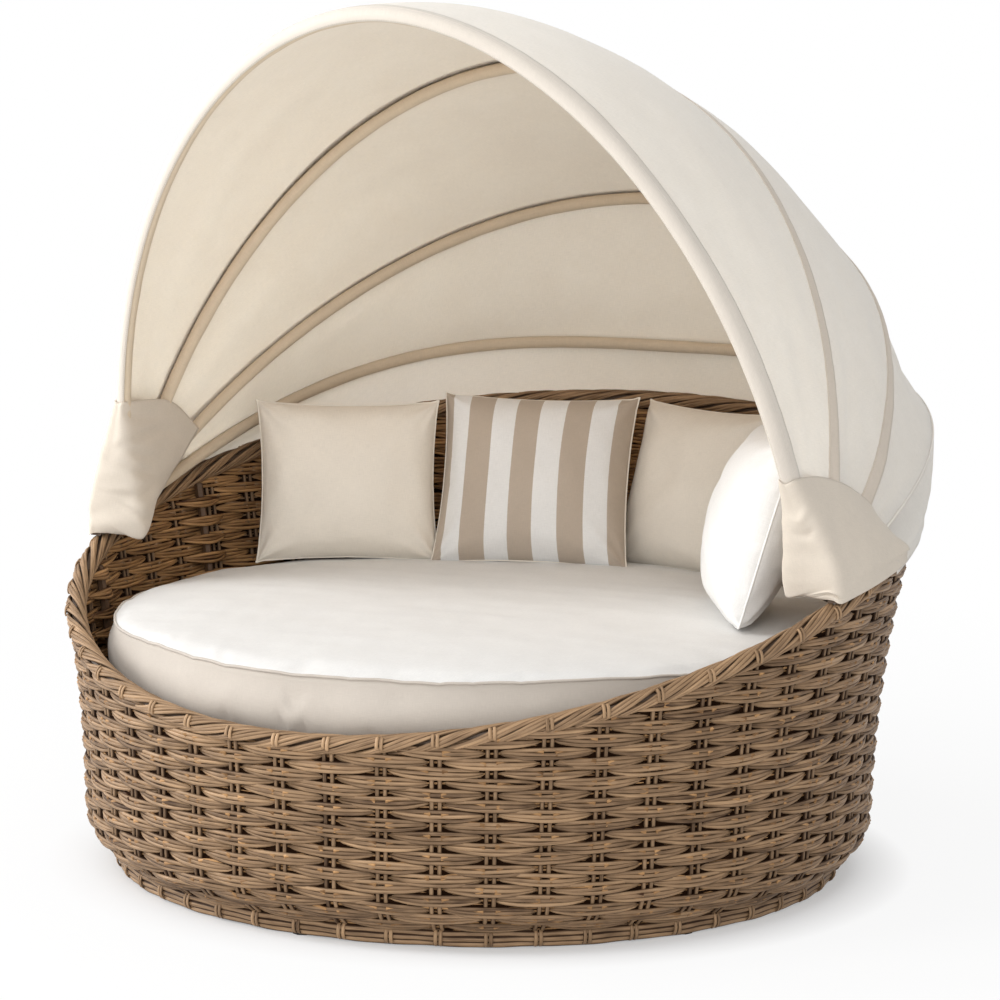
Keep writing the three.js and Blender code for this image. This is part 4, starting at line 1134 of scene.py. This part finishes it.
class DAYBED_OT_cushions(bpy.types.Operator):
    """Fill the scatter cushions and the pillow, and run piping round their seams"""
    bl_idname = "daybed.cushions"
    bl_label = "Scatter cushions"

    def execute(self, context):
        s = context.scene.daybed_cushions
        beige = cloth("Beige cloth", s.beige, CUSHION_THREADS)
        white = cloth("White cloth", s.white, CUSHION_THREADS)
        striped = cloth("Striped cloth", s.white, CUSHION_THREADS, paint=self.stripes(s))
        looks = {
            "cushion_left": (beige, "beige_fabric", beige, "beige_fabric"),
            "cushion_striped": (striped, "striped_fabric", beige, "beige_fabric"),
            "cushion_right": (beige, "beige_fabric", beige, "beige_fabric"),
            "pillow_white": (white, "seat_fabric", white, "seat_fabric"),
        }
        for number, name in enumerate(CUSHIONS):
            material, slot, pipe_material, pipe_slot = looks[name]
            made, seam = self.filled(name, number, material)
            settle(made, "basket", slot, name)
            normal = unit(seam - seam.mean(axis=0))
            pipe = tube_piece(name + "_piping", pipe_material, seam, normal, s.piping / 2, 8, True)
            settle(pipe, "basket", pipe_slot)
        return {"FINISHED"}

    def filled(self, name, number, material):
        """One cushion, closed from its two crowned sides, blown up, rippled, folded and set down, and
        the points of its seam."""
        width, height, thickness = (CUSHION_WIDTH * share for share in CUSHIONS[name][:3])
        steps = CUSHION_STEPS
        x, y, z, u, v = cushion_grid(width, height, thickness - CUSHION_SWELL, steps, DRAWN_IN)
        if name == "pillow_white":
            near_corner = 1 - PILLOW_CORNER * (u * u * v * v) ** 2
            x, z = x * near_corner, height / 2 + (z - height / 2) * near_corner
        front = np.stack([x, -y, z], -1).reshape(-1, 3)
        back = np.stack([x, y, z], -1).reshape(-1, 3)
        ring = seam_ring(steps)
        index_back = np.arange(steps * steps)
        inner = np.setdiff1d(index_back, ring)
        index_back[inner] = steps * steps + np.arange(len(inner))
        points = np.concatenate([front, back[inner]])
        quad = grid_quads(steps, steps)
        quads = np.concatenate([quad, index_back[quad][:, ::-1]])
        flow = np.stack([u * width / 2, v * height / 2, np.zeros_like(u)], -1).reshape(-1, 3)
        flow = np.concatenate([flow, flow[inner] + UPWARDS])
        made = new_piece(name + "_filled", points, quads, flow, [material])
        points = points + (puffed(made, *CUSHION_PUFF) - points) * SWELL_KEPT
        edge = np.maximum(np.abs(u), np.abs(v)).reshape(-1)
        edge = np.concatenate([edge, edge[inner]])
        lift = smooth_noise(points, 0.16, 30 + number) * 0.0035 * np.clip((1 - edge) * 4, 0, 1)
        points[:, 1] += (lift + self.corner_folds(points, width, height, number)) * np.sign(points[:, 1])
        points = placed(points, name)
        set_points(made.data, points)
        return made, points[ring]

    @staticmethod
    def corner_folds(points, width, height, number):
        """Folds that run out from each corner: cos of the angle about it, rising and fading with the
        distance d as d/e·exp(1-d/e), deeper at the lower corners, on which the cushion stands."""
        total = np.zeros(len(points))
        for corner, (x, z) in enumerate(((-1, 0), (1, 0), (-1, 1), (1, 1))):
            across, up = points[:, 0] - x * width / 2, points[:, 2] - z * height
            away = np.hypot(across, up) / FOLD_REACH
            angle = np.arctan2(np.abs(up), np.abs(across))
            depth = FOLD_DEPTH * (1.0 if z else LOWER_FOLDS)
            fade = away * np.exp(1 - away) * np.clip(away * 2, 0, 1)
            total += depth * np.cos(angle * 13 + corner * 1.3 + number) * fade
        return total * np.clip(np.abs(points[:, 1]) / 0.012, 0, 1)

    @staticmethod
    def stripes(s):
        """Paints taupe edges and upright taupe stripes on white, by the distance across the cushion."""
        half = CUSHION_WIDTH * CUSHIONS["cushion_striped"][0] / 2
        tones = [plain(np.array(s.stripe) * share) for share in (0.93, 1.03)]

        def paint(n, ground, vector, mask):
            u = n.math("DIVIDE", n.apart(vector)["X"], half)
            bands = (n.times(n.math("GREATER_THAN", u, low), n.math("LESS_THAN", u, high))
                     for low, high in STRIPES)
            return n.mix(n.plus(*bands), ground, n.mix(mask, *tones))
        return paint


class DAYBED_OT_seat(bpy.types.Operator):
    """Fill the round boxed seat cushion, with a seam cord round its upper and lower edge"""
    bl_idname = "daybed.seat"
    bl_label = "Seat cushion"

    def execute(self, context):
        s = context.scene.daybed_cushions
        # Painted shade: the side strip and both seam cords take the darker, greyer side colour.
        seat, shaded_side = (cloth(name, written, SEAT_THREADS)
                        for name, written in (("Seat cloth", s.seat), ("Seat side cloth painted darker", s.shaded_side)))
        ring = seam_ring(SEAT_STEPS)
        points, quads, flow, slots, way = self.drum(ring)
        made = new_piece("seat_cushion_filled", points, quads, flow, [seat, shaded_side], slots)
        points = puffed(made, *SEAT_PUFF)
        points = self.worn(points)
        set_points(made.data, points)
        settle(made, "basket", "seat_fabric", "seat_cushion")
        for name, edge in (("seat_seam_upper", ring), ("seat_seam_lower", ring + SEAT_STEPS ** 2)):
            line = points[edge] + way * 0.0005
            settle(tube_piece(name, shaded_side, line, UPWARDS, SEAM_RADIUS, 8, True), "basket", "seat_fabric")
        return {"FINISHED"}

    @staticmethod
    def drum(ring):
        """A crowned round top, a flat bottom and a bulging side strip. The round is a square grid with
        x = u·sqrt(1 - v²/2) and y = v·sqrt(1 - u²/2), the crown 1 - share^4, the bulge sin(pi·t)."""
        line = np.linspace(-1, 1, SEAT_STEPS)
        v, u = np.meshgrid(line, line, indexing="ij")
        x, y = u * np.sqrt(1 - v * v / 2), v * np.sqrt(1 - u * u / 2)
        rim = SEAT_RADIUS - SEAT_INSET
        share = np.minimum(np.hypot(x, y) * rim / SEAT_RADIUS, 1)
        crown = SEAT_EDGE + SEAT_CROWN * (1 - share ** 4)
        top, bottom = (np.stack([x * rim, y * rim, z], -1).reshape(-1, 3)
                       for z in (crown, np.full_like(x, SEAT_BOTTOM + 0.001)))
        t = np.linspace(0, 1, SEAT_SIDE_STEPS)[1:-1]
        way = unit(top[ring] * LEVEL)
        height = SEAT_EDGE - SEAT_BOTTOM
        band = top[ring][None] + way[None] * (SEAT_BULGE * np.sin(t * math.pi))[:, None, None]
        band[..., 2] = (SEAT_EDGE - t * height)[:, None]
        count, size_of_side = len(ring), SEAT_STEPS ** 2
        quad = grid_quads(SEAT_STEPS, SEAT_STEPS)
        middle = 2 * size_of_side + np.arange(len(t) * count).reshape(-1, count)
        rows = np.vstack([ring[None], middle, (ring + size_of_side)[None]])
        a, b = rows[:-1], rows[1:]
        side = np.stack([a, b, np.roll(b, -1, axis=1), np.roll(a, -1, axis=1)], -1).reshape(-1, 4)
        round_way = np.arctan2(way[:, 0], -way[:, 1]) * SEAT_RADIUS
        band_flow = np.stack(np.broadcast_arrays(round_way[None], (-t * height)[:, None], 2.0), -1)
        flow = np.concatenate([top * LEVEL, bottom * LEVEL + UPWARDS, band_flow.reshape(-1, 3)])
        quads = np.concatenate([quad, quad[:, ::-1] + size_of_side, side])
        slots = np.repeat([0, 1], [2 * len(quad), len(side)])
        return np.concatenate([top, bottom, band.reshape(-1, 3)]), quads, flow, slots, way

    @staticmethod
    def worn(points):
        """Soft hollows on the seat, which fade towards its bottom, and an edge that isn't quite round."""
        upper = np.clip((points[:, 2] - SEAT_BOTTOM) / (SEAT_EDGE - SEAT_BOTTOM), 0, 1)
        hollows = smooth_noise(points, 0.55, 5) * 0.0030 + smooth_noise(points, 0.14, 6) * 0.0012
        points[:, 2] += hollows * upper
        edge = np.hypot(points[:, 0], points[:, 1])
        outer = np.clip((edge - 0.6) / 0.1, 0, 1)
        reach = 1 + smooth_noise(points, 0.30, 7) * 0.0035 / np.maximum(edge, 0.1) * outer
        points[:, :2] *= reach[:, None]
        points[:, 2] = np.maximum(points[:, 2], SEAT_BOTTOM + 0.0005)
        return points


# Canopy

def blend_by_angle(piece):
    """Bakes a panel's transform into its points."""
    points = get_points(piece.data)
    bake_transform(piece)


def stitched(distance):
    """Paints two rows of stitches at a distance either side of a strip's middle: dashes along its flow."""
    def paint(n, ground, vector, mask):
        apart = n.apart(vector)
        aside = n.math("ABSOLUTE", n.minus(n.math("ABSOLUTE", apart["Y"]), distance))
        dash = n.math("GREATER_THAN", n.math("SINE", n.times(apart["X"], TURN / STITCH_LENGTH)), -0.4)
        line = n.times(n.math("LESS_THAN", aside, STITCH_HALF), dash)
        return n.mix(n.times(line, 0.45), ground, plain((0.62, 0.55, 0.46)))
    return paint


def canopy_materials(s):
    """The canopy's outside, lining and sleeves, made once."""
    names = ("Canopy outside", "Canopy lining", "Hoop sleeve")
    if names[0] not in bpy.data.materials:
        cloth(names[0], s.outside, CANOPY_THREADS, thin=CANOPY_THIN)
        cloth(names[1], s.lining, CANOPY_THREADS, thin=CANOPY_THIN)
        cloth(names[2], s.sleeve, CANOPY_THREADS)
    return [bpy.data.materials[name] for name in names]


def sheet_piece(name, outer, inner, materials, turned=False):
    """A sheet of cloth from two grids, one material outside and one inside."""
    points, quads, flow, slots = sheet_shell(outer, inner)
    return new_piece(name, points, quads[:, ::-1] if turned else quads, flow, materials, slots)


def panel_points(number, a, b, share, v, distance):
    """Points of a panel, with soft pull folds that start at the hoops and fade inwards, moved along the
    way out from the pivots."""
    grid = canopy_surface(a, b, share, v, distance)
    v = np.broadcast_to(v, np.shape(share))
    out = unit(grid - np.array([0.0, PIVOT_Y, PIVOT_Z]))
    near = np.exp(-v / FOLD_FADE) + np.exp(-(1 - v) / FOLD_FADE)
    inside = np.sin(np.clip(v, 0, 1) * math.pi) ** 0.5
    along, which = share * 2.6, np.full_like(v, number)
    ripple = smooth_noise(np.stack([along, np.zeros_like(v), which], -1), 0.055, 70 + number)
    broad = smooth_noise(np.stack([along, v * 0.5, which], -1), 0.5, 80 + number)
    return grid + out * ((FOLD_RIPPLE * ripple * near + FOLD_BROAD * broad) * inside)[..., None]


def panel_reach(a, b, share):
    """Distance between two hoops at shares of their length."""
    first, last = (canopy_surface(a, b, share, v, 0.0) for v in (0.0, 1.0))
    return np.linalg.norm(last - first, axis=-1)


def strip(name, outer, inner, material, half):
    """A closed strip between two grids, its flow measured along it and across from its middle."""
    points, quads, flow, _ = sheet_shell(outer, inner)
    flow[:, 1] -= half
    way = np.cross(outer[1, 1] - outer[0, 1], outer[0, 2] - outer[0, 1]) @ (outer - inner)[0, 1]
    return new_piece(name, points, quads if way < 0 else quads[:, ::-1], flow, [material])


class DAYBED_OT_canopy(bpy.types.Operator):
    """Stretch the canopy's three panels over the hoops, each drawn in between them"""
    bl_idname = "daybed.canopy"
    bl_label = "Canopy panels"

    def execute(self, context):
        s = context.scene.daybed_canopy
        outside, lining, sleeve = canopy_materials(s)
        share, v = np.meshgrid(np.linspace(PANEL_FIRST, PANEL_LAST, PANEL_COLUMNS),
                               np.linspace(0, 1, PANEL_ROWS), indexing="xy")
        for number, (a, b, place) in enumerate((
                ("front", "second", "front"), ("second", "third", "top"), ("third", "rear", "back"))):
            outer, inner = (panel_points(number, a, b, share, v, distance)
                            for distance in (CLOTH_OUTSIDE, CLOTH_OFFSET))
            piece = sheet_piece(f"canopy_{place}_cloth", outer, inner, [outside, lining], turned=True)
            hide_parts(f"canopy_{place}_panel")
            blend_by_angle(piece)
        self.sleeves(s, sleeve)
        self.casings(s)
        self.front_hem(s)
        self.rear_cord(outside)
        return {"FINISHED"}

    @staticmethod
    def sleeves(s, material):
        """The tan sleeves under the lining: tubes of the casing's radius, whose middle lies a little
        inside the hoop's."""
        share = np.linspace(PANEL_FIRST - SLEEVE_PAST_PANEL, PANEL_LAST + SLEEVE_PAST_PANEL, 241)
        for bow, body in BOW_BODIES.items():
            path = on_bow(bow, share, -SLEEVE_INSET * (REAR_SLEEVE_INSET if bow == "rear" else 1))
            radius = s.casing * (0.97 + 0.03 * smooth_noise(path, 0.12, 60))
            piece = tube_piece(f"{bow}_sleeve", material, path, bow_normal(bow), radius, 14)
            settle(piece, body, "canopy_fabric")

    @staticmethod
    def casings(s):
        """Tapes sewn over the seams at the second and third hoops, each lying on the panels at both sides.
        Their colour, darker than the outside cloth, is painted shade of the hoops seen through the cloth.
        """
        tape = cloth("Casing tape painted shaded", s.tape, CANOPY_THREADS,
                     paint=stitched(CASING_HALF - CASING_STITCHES))
        share = np.linspace(PANEL_FIRST, PANEL_LAST, PANEL_COLUMNS)
        for number, (before, bow, after) in enumerate((
                ("front", "second", "third"), ("second", "third", "rear"))):
            columns = []
            for across in np.linspace(-1, 1, 9) * CASING_HALF:
                ahead = across < 0
                panel, a, b = (number, before, bow) if ahead else (number + 1, bow, after)
                v = np.minimum(abs(across) / panel_reach(a, b, share), STRIP_LIMIT)
                v = 1 - v if ahead else v
                columns.append([panel_points(panel, a, b, share, v, CLOTH_OUTSIDE + lift)
                                for lift in CASING_LIFTS])
            outer, inner = np.moveaxis(np.array(columns), 0, 1)
            settle(strip(f"{bow}_casing", outer, inner, tape, CASING_HALF), BOW_BODIES[bow], "canopy_fabric")

    @staticmethod
    def front_hem(s):
        """The outer cloth turned over the front hoop: an arc of the sleeve's radius from outwards to a
        little inside, then a flat strip on the front panel, with a row of stitches. Its colour is the
        outside's made darker: painted shade."""
        # Painted shade: the hem's colour is the outside's times 0.93.
        hem = cloth("Canopy hem painted darker", np.array(s.outside) * 0.93, CANOPY_THREADS,
                    paint=stitched(HEM_WIDTH / 2 - HEM_STITCHES))
        share = np.linspace(PANEL_FIRST - HEM_PAST_PANEL, PANEL_LAST + HEM_PAST_PANEL, 201)
        normal = bow_normal("front")
        middle = on_bow("front", share, -SLEEVE_INSET)
        out = unit(on_bow("front", share, 1.0) - on_bow("front", share))
        reach = panel_reach("front", "second", share)
        layers = []
        for lift in HEM_LIFTS:
            rows = [middle + (s.casing + lift) * (out * math.cos(a) + normal * math.sin(a))
                    for a in np.radians(np.linspace(*HEM_ARC, 9))]
            for across in HEM_STRIP:
                v = np.minimum(across / reach, STRIP_LIMIT)
                distance = CLOTH_OUTSIDE + lift - HEM_STRIP_SINK
                rows.append(panel_points(0, "front", "second", share, v, distance))
            layers.append(np.array(rows))
        settle(strip("front_hem", *layers, hem, HEM_WIDTH / 2), "front_hoop", "canopy_fabric")

    @staticmethod
    def rear_cord(material):
        """A thin cord in the seam between the back panel and the skirt."""
        proud, radius = REAR_CORD
        path = on_bow("rear", np.linspace(PANEL_FIRST, PANEL_LAST, 241), CLOTH_OFFSET + proud)
        piece = tube_piece("rear_seam_cord", material, path, bow_normal("rear"), radius, 8)
        settle(piece, "basket", "canopy_fabric")


def skirt_rows(share, distance, rows):
    """The skirt from the rear hoop down over the rim: rows mixed between them with a bulge of
    4s(1-s), then a straight hem."""
    bow = on_bow("rear", share, distance)
    turn = np.arctan2(bow[:, 0], -bow[:, 1])
    radius = braid_radius(turn) + BRAID_RADIUS + CLOTH_GAP + distance - CLOTH_OFFSET
    top = around(turn, radius, rim_height(turn) - SKIRT_DROP + SKIRT_STRAIGHT)
    hem = around(turn, radius, rim_height(turn) - SKIRT_DROP)
    grid = []
    for part in rows:
        if part <= 1:
            point = bow + (top - bow) * part
            bulge = SKIRT_BULGE * 4 * part * (1 - part)
            reach = 1 + bulge / np.hypot(point[:, 0], point[:, 1])
            grid.append(point * np.stack([reach, reach, np.ones_like(reach)], -1))
        else:
            grid.append(top + (hem - top) * (part - 1))
    return np.array(grid)


class DAYBED_OT_skirt(bpy.types.Operator):
    """Hang the canopy's skirt from the rear hoop over the outside of the rim"""
    bl_idname = "daybed.skirt"
    bl_label = "Canopy skirt"

    def execute(self, context):
        materials = canopy_materials(context.scene.daybed_canopy)[:2]
        share = np.linspace(PANEL_FIRST, PANEL_LAST, PANEL_COLUMNS)
        rows = np.concatenate([np.linspace(0, 1, 15), [1.33, 1.66, 2.0]])
        along = np.clip(share - share[0], 0, 1) / (share[-1] - share[0])
        fade = np.minimum(rows, 1)[:, None] * np.sin(along * math.pi)[None] ** 0.4
        place = np.broadcast_to(share * 4.0, fade.shape)
        ripple = smooth_noise(np.stack([place, np.zeros(fade.shape), np.zeros(fade.shape)], -1), 0.22, 90)
        push = (SKIRT_RIPPLE * ripple * fade + SKIRT_FULLNESS * fade)[..., None]
        grids = [skirt_rows(share, distance, rows) for distance in (CLOTH_OUTSIDE, CLOTH_OFFSET)]
        outer, inner = (grid + unit(grid * LEVEL) * push for grid in grids)
        piece = sheet_piece("canopy_skirt_cloth", outer, inner, materials)
        settle(piece, "basket", "canopy_fabric", "canopy_skirt")
        return {"FINISHED"}


def pocket_columns(side):
    """The columns of a side pocket's CAD sheet, each from its top to the rim, outside first, round the
    front hoop and back inside. Column points are mixes of the hoops' places and the rim's."""
    shares = np.array(POCKET_TOPS[side]) / BOW_STEPS
    shares = shares if side > 0 else 1 - shares
    out = CLOTH_OUTSIDE + POCKET_PROUD

    def rim_place(place, outwards, up):
        turn = side * (rear + (front - rear) * place)
        return around(turn, braid_radius(turn) + outwards, rim_height(turn) - BRAID_RADIUS + up)

    end = on_bow("rear", shares[0], out)
    rear = math.atan2(abs(end[0]), -end[1])
    front = math.radians(POCKET_FRONT_ANGLE)
    bows = ["rear", "third", "second", "front"]
    bulge = np.array([side * POCKET_BULGE, 0.0, 0.0])
    columns = []
    for i in range(7):
        a, b = bows[math.floor(i / 2)], bows[math.ceil(i / 2)]
        top = canopy_surface(b, a, shares[i], 0.0 if a == b else 0.5, out)
        drop = SKIRT_DROP * (1 - i / 6)
        reach = BRAID_RADIUS + CLOTH_GAP + CLOTH_THICKNESS
        hem = rim_place(i / 6, reach, BRAID_RADIUS - drop)
        low = rim_place(i / 6, reach, BRAID_RADIUS + SKIRT_STRAIGHT - drop)
        middle = (top + low) / 2 + bulge
        over_pin = low + (top - low) * POCKET_PIN_SHARE + bulge
        columns.append([top, middle, over_pin, low, hem])
    x, y = bow_line("front", shares[7])
    edge = at_angle(x, y, BOWS["front"][3] - math.degrees(POCKET_FOLD / float(y)))
    outwards, up = FOLD_HEM_SHARES
    hem = rim_place(1 + POCKET_FOLD / RIM_RADIUS, BRAID_RADIUS * outwards, BRAID_RADIUS * up)
    columns.append([edge, *(edge + (hem - edge) * f for f in FOLD_ROW_SHARES), hem])
    for place, bow in enumerate(("front", "second", "third")):
        top = on_bow(bow, shares[8 + place], -out)
        outwards, up = INNER_HEM_SHARES[place]
        hem = rim_place(INNER_HEM_PLACES[place], BRAID_RADIUS * outwards, BRAID_RADIUS * up)
        behind = place < 2
        inner = INNER_BARREL if behind else INNER_BARREL + 2 * BARREL_SPACING
        low = hem[2] + POCKET_HEM_RISE
        low = min(PIVOT_Z - POCKET_FLOOR_DROP, low) if behind else low
        floor = np.array([side * (inner - POCKET_INSET), hem[1], low])
        columns.append([top, (top + floor) / 2, floor, (floor + hem) / 2, hem])
    return np.array(columns)


def spline(values, count, axis):
    """Catmull-Rom curve through evenly placed values along one axis, at count places."""
    values = np.moveaxis(values, axis, 0)
    last = len(values) - 1
    at = np.linspace(0, last, count)
    i = np.minimum(at.astype(int), last - 1)
    t = (at - i).reshape(-1, *([1] * (values.ndim - 1)))
    padded = np.concatenate([2 * values[:1] - values[1:2], values, 2 * values[-1:] - values[-2:-1]])
    a, b, c, d = padded[i], padded[i + 1], padded[i + 2], padded[i + 3]
    made = 0.5 * (2 * b + (c - a) * t + (2 * a - 5 * b + 4 * c - d) * t ** 2
                  + (3 * b - 3 * c + d - a) * t ** 3)
    return np.moveaxis(made, 0, axis)


class DAYBED_OT_pockets(bpy.types.Operator):
    """Sew the cloth pockets over the hoops' lower ends and the pivots"""
    bl_idname = "daybed.pockets"
    bl_label = "Side pockets"

    def execute(self, context):
        s = context.scene.daybed_canopy
        materials = [cloth("Pocket cloth", s.pocket, CANOPY_THREADS), canopy_materials(s)[1]]
        row, column = np.meshgrid(np.linspace(0, 1, POCKET_ROWS), np.linspace(0, 10, POCKET_COLUMNS),
                                  indexing="ij")
        for side, name in ((1, "right"), (-1, "left")):
            grid = spline(spline(pocket_columns(side), POCKET_COLUMNS, 0), POCKET_ROWS, 1)
            outer = np.moveaxis(grid, 1, 0)
            normal = unit(np.cross(np.gradient(outer, axis=1), np.gradient(outer, axis=0))) * side
            slack = smooth_noise(outer, 0.12, 40) * POCKET_SLACK * np.sin(row * math.pi) ** 0.5
            outer = outer + normal * (self.tucks(name, row, column) + slack)[..., None]
            inner = outer - normal * CLOTH_THICKNESS
            piece = sheet_piece(f"pocket_cloth_{name}", outer, inner, materials, turned=side < 0)
            settle(piece, "basket", "canopy_fabric", f"side_pocket_{name}")
            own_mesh(piece)
        return {"FINISHED"}

    @staticmethod
    def tucks(name, row, column):
        """Depth of the tucks: each a slanting ridge or valley that fades as exp(-d²) both ways."""
        total = np.zeros_like(row)
        for at, middle, reach, slant, depth in POCKET_TUCKS[name]:
            down = (row - at - slant * (column - middle)) / TUCK_WIDTH
            total = total + depth * np.exp(-(down ** 2) - ((column - middle) / reach) ** 2)
        return total


# Solids that are carried over, and the stage

class DAYBED_OT_frame_finishes(bpy.types.Operator):
    """Give the metal, wood and rubber of the frame their finishes"""
    bl_idname = "daybed.frame_finishes"
    bl_label = "Frame finishes"

    def execute(self, context):
        shown = {name: node for name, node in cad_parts.items() if not node.hide_render}
        done = set()
        for title, starts, dark, light, more in SOLID_FINISHES:
            material = finish(title, "wear", dark, light, **more)
            for name in [x for x in shown if x not in done and x.startswith(starts)]:
                done.add(name)
                if not shown[name].material_slots:
                    shown[name].data.materials.append(material)
                for slot in shown[name].material_slots:
                    slot.material = material
        return {"FINISHED"}


class DAYBED_OT_stage(bpy.types.Operator):
    """Lay a plain pale floor, hang soft lamps and set the camera at the photograph's angle"""
    bl_idname = "daybed.stage"
    bl_label = "Floor, light and camera"

    def execute(self, context):
        scene = context.scene
        self.floor()
        self.world(scene)
        for name, place, across, power in LAMPS:
            light = bpy.data.lights.new(name, "AREA")
            light.shape = "DISK"
            light.size = across
            light.energy = power
            lamp = bpy.data.objects.new(name, light)
            turned = (Vector(LAMPS_AIM) - Vector(place)).to_track_quat("-Z", "Y").to_matrix().to_4x4()
            lamp.matrix_world = Matrix.Translation(place) @ turned
            scene.collection.objects.link(lamp)
        self.camera(scene)
        scene.view_settings.view_transform = "Standard"
        return {"FINISHED"}

    @staticmethod
    def camera(scene):
        """The camera of the photograph: turned left, pitched down and rolled."""
        camera = bpy.data.cameras.new("photo_camera")
        camera.lens = CAMERA_LENS
        camera.sensor_width = 36
        camera.clip_end = 100
        turn, pitch, roll = (math.radians(x) for x in (CAMERA_TURN, CAMERA_PITCH, CAMERA_ROLL))
        forward = Vector((-math.sin(turn) * math.cos(pitch), math.cos(turn) * math.cos(pitch),
                          -math.sin(pitch)))
        right = Vector((math.cos(turn), math.sin(turn), 0))
        up = right.cross(forward)
        right, up = (math.cos(roll) * right + math.sin(roll) * up,
                     -math.sin(roll) * right + math.cos(roll) * up)
        made = bpy.data.objects.new("photo_camera", camera)
        turned = Matrix((right, up, -forward)).transposed().to_4x4()
        made.matrix_world = Matrix.Translation(CAMERA_PLACE) @ turned
        scene.collection.objects.link(made)
        scene.camera = made

    @staticmethod
    def floor():
        """A square floor under the daybed, white to the camera and pale to the light; its white glow fades
        towards the daybed, a painted shadow round its base over the real one.
        """
        corners = np.array([[-1, -1, 0], [1, -1, 0], [1, 1, 0], [-1, 1, 0]]) * FLOOR_HALF
        material = bpy.data.materials.new("Pale floor")
        material.use_nodes = True
        tree = material.node_tree
        n = Nodes(tree)
        shader = shader_of(tree, "BSDF_PRINCIPLED")
        vector = n.add("ShaderNodeTexCoord").outputs["Object"]
        pale = n.mix(n.noise(vector, 3.0), (0.86, 0.86, 0.86, 1), (0.90, 0.90, 0.90, 1))
        n.put(shader.inputs["Base Color"], pale)
        shader.inputs["Roughness"].default_value = 0.9
        away = n.add("ShaderNodeVectorMath", {0: vector}, operation="LENGTH").outputs["Value"]
        # Painted shadow: the glow to the camera is weaker near the daybed, so the floor reads darker round
        # its base.
        under, near, far = FLOOR_WHITE
        white = n.plus(under, n.times(n.span(away, *FLOOR_NEAR), near),
                       n.times(n.span(away, *FLOOR_FAR), far))
        glow = n.add("ShaderNodeEmission", {"Color": (1, 1, 1, 1), "Strength": 1.0}).outputs[0]
        mixed = n.add("ShaderNodeMixShader", {0: n.times(n.seen(), white), 1: shader.outputs[0], 2: glow})
        n.put(shader_of(tree, "OUTPUT_MATERIAL").inputs["Surface"], mixed.outputs[0])
        new_piece("floor", corners, np.array([[0, 1, 2, 3]]), corners, [material])

    @staticmethod
    def world(scene):
        """Soft white light all round, white where the camera sees it."""
        world = bpy.data.worlds.new("soft_white")
        world.use_nodes = True
        scene.world = world
        n = Nodes(world.node_tree)
        back = shader_of(world.node_tree, "BACKGROUND")
        back.inputs["Color"].default_value = (1, 1, 1, 1)
        n.put(back.inputs["Strength"], n.span(n.seen(), 0.0, 1.0, WORLD_LIGHT, 1.0))


class DAYBED_PT_panel(bpy.types.Panel):
    """Settings and steps of the daybed"""
    bl_idname = "DAYBED_PT_panel"
    bl_label = "Canopy daybed"
    bl_space_type = "VIEW_3D"
    bl_region_type = "UI"
    bl_category = "Daybed"

    def draw(self, context):
        for name, settings in SETTINGS.items():
            owner, box = getattr(context.scene, name), self.layout.box()
            box.label(text=name.split("_")[1].capitalize())
            for key in settings.__annotations__:
                box.prop(owner, key)
        for operator in OPERATORS:
            self.layout.operator(operator.bl_idname)


SETTINGS = {
    "daybed_weave": WeaveSettings, "daybed_cushions": CushionSettings, "daybed_canopy": CanopySettings,
}
OPERATORS = (
    DAYBED_OT_stage, DAYBED_OT_weave, DAYBED_OT_rim, DAYBED_OT_seat, DAYBED_OT_cushions,
    DAYBED_OT_canopy, DAYBED_OT_skirt, DAYBED_OT_pockets, DAYBED_OT_frame_finishes,
)


def register():
    for made in (*SETTINGS.values(), *OPERATORS, DAYBED_PT_panel):
        bpy.utils.register_class(made)
    for name, made in SETTINGS.items():
        setattr(bpy.types.Scene, name, bpy.props.PointerProperty(type=made))


def unregister():
    for name in SETTINGS:
        delattr(bpy.types.Scene, name)
    for made in (DAYBED_PT_panel, *reversed(OPERATORS), *reversed(list(SETTINGS.values()))):
        bpy.utils.unregister_class(made)


def main():
    register()
    for operator in OPERATORS:
        done = getattr(bpy.ops.daybed, operator.bl_idname.split(".")[1])()
        if done != {"FINISHED"}:
            raise RuntimeError(f"{operator.bl_idname} did not finish")
    bpy.context.view_layer.update()


if __name__ == "__main__":
    main()
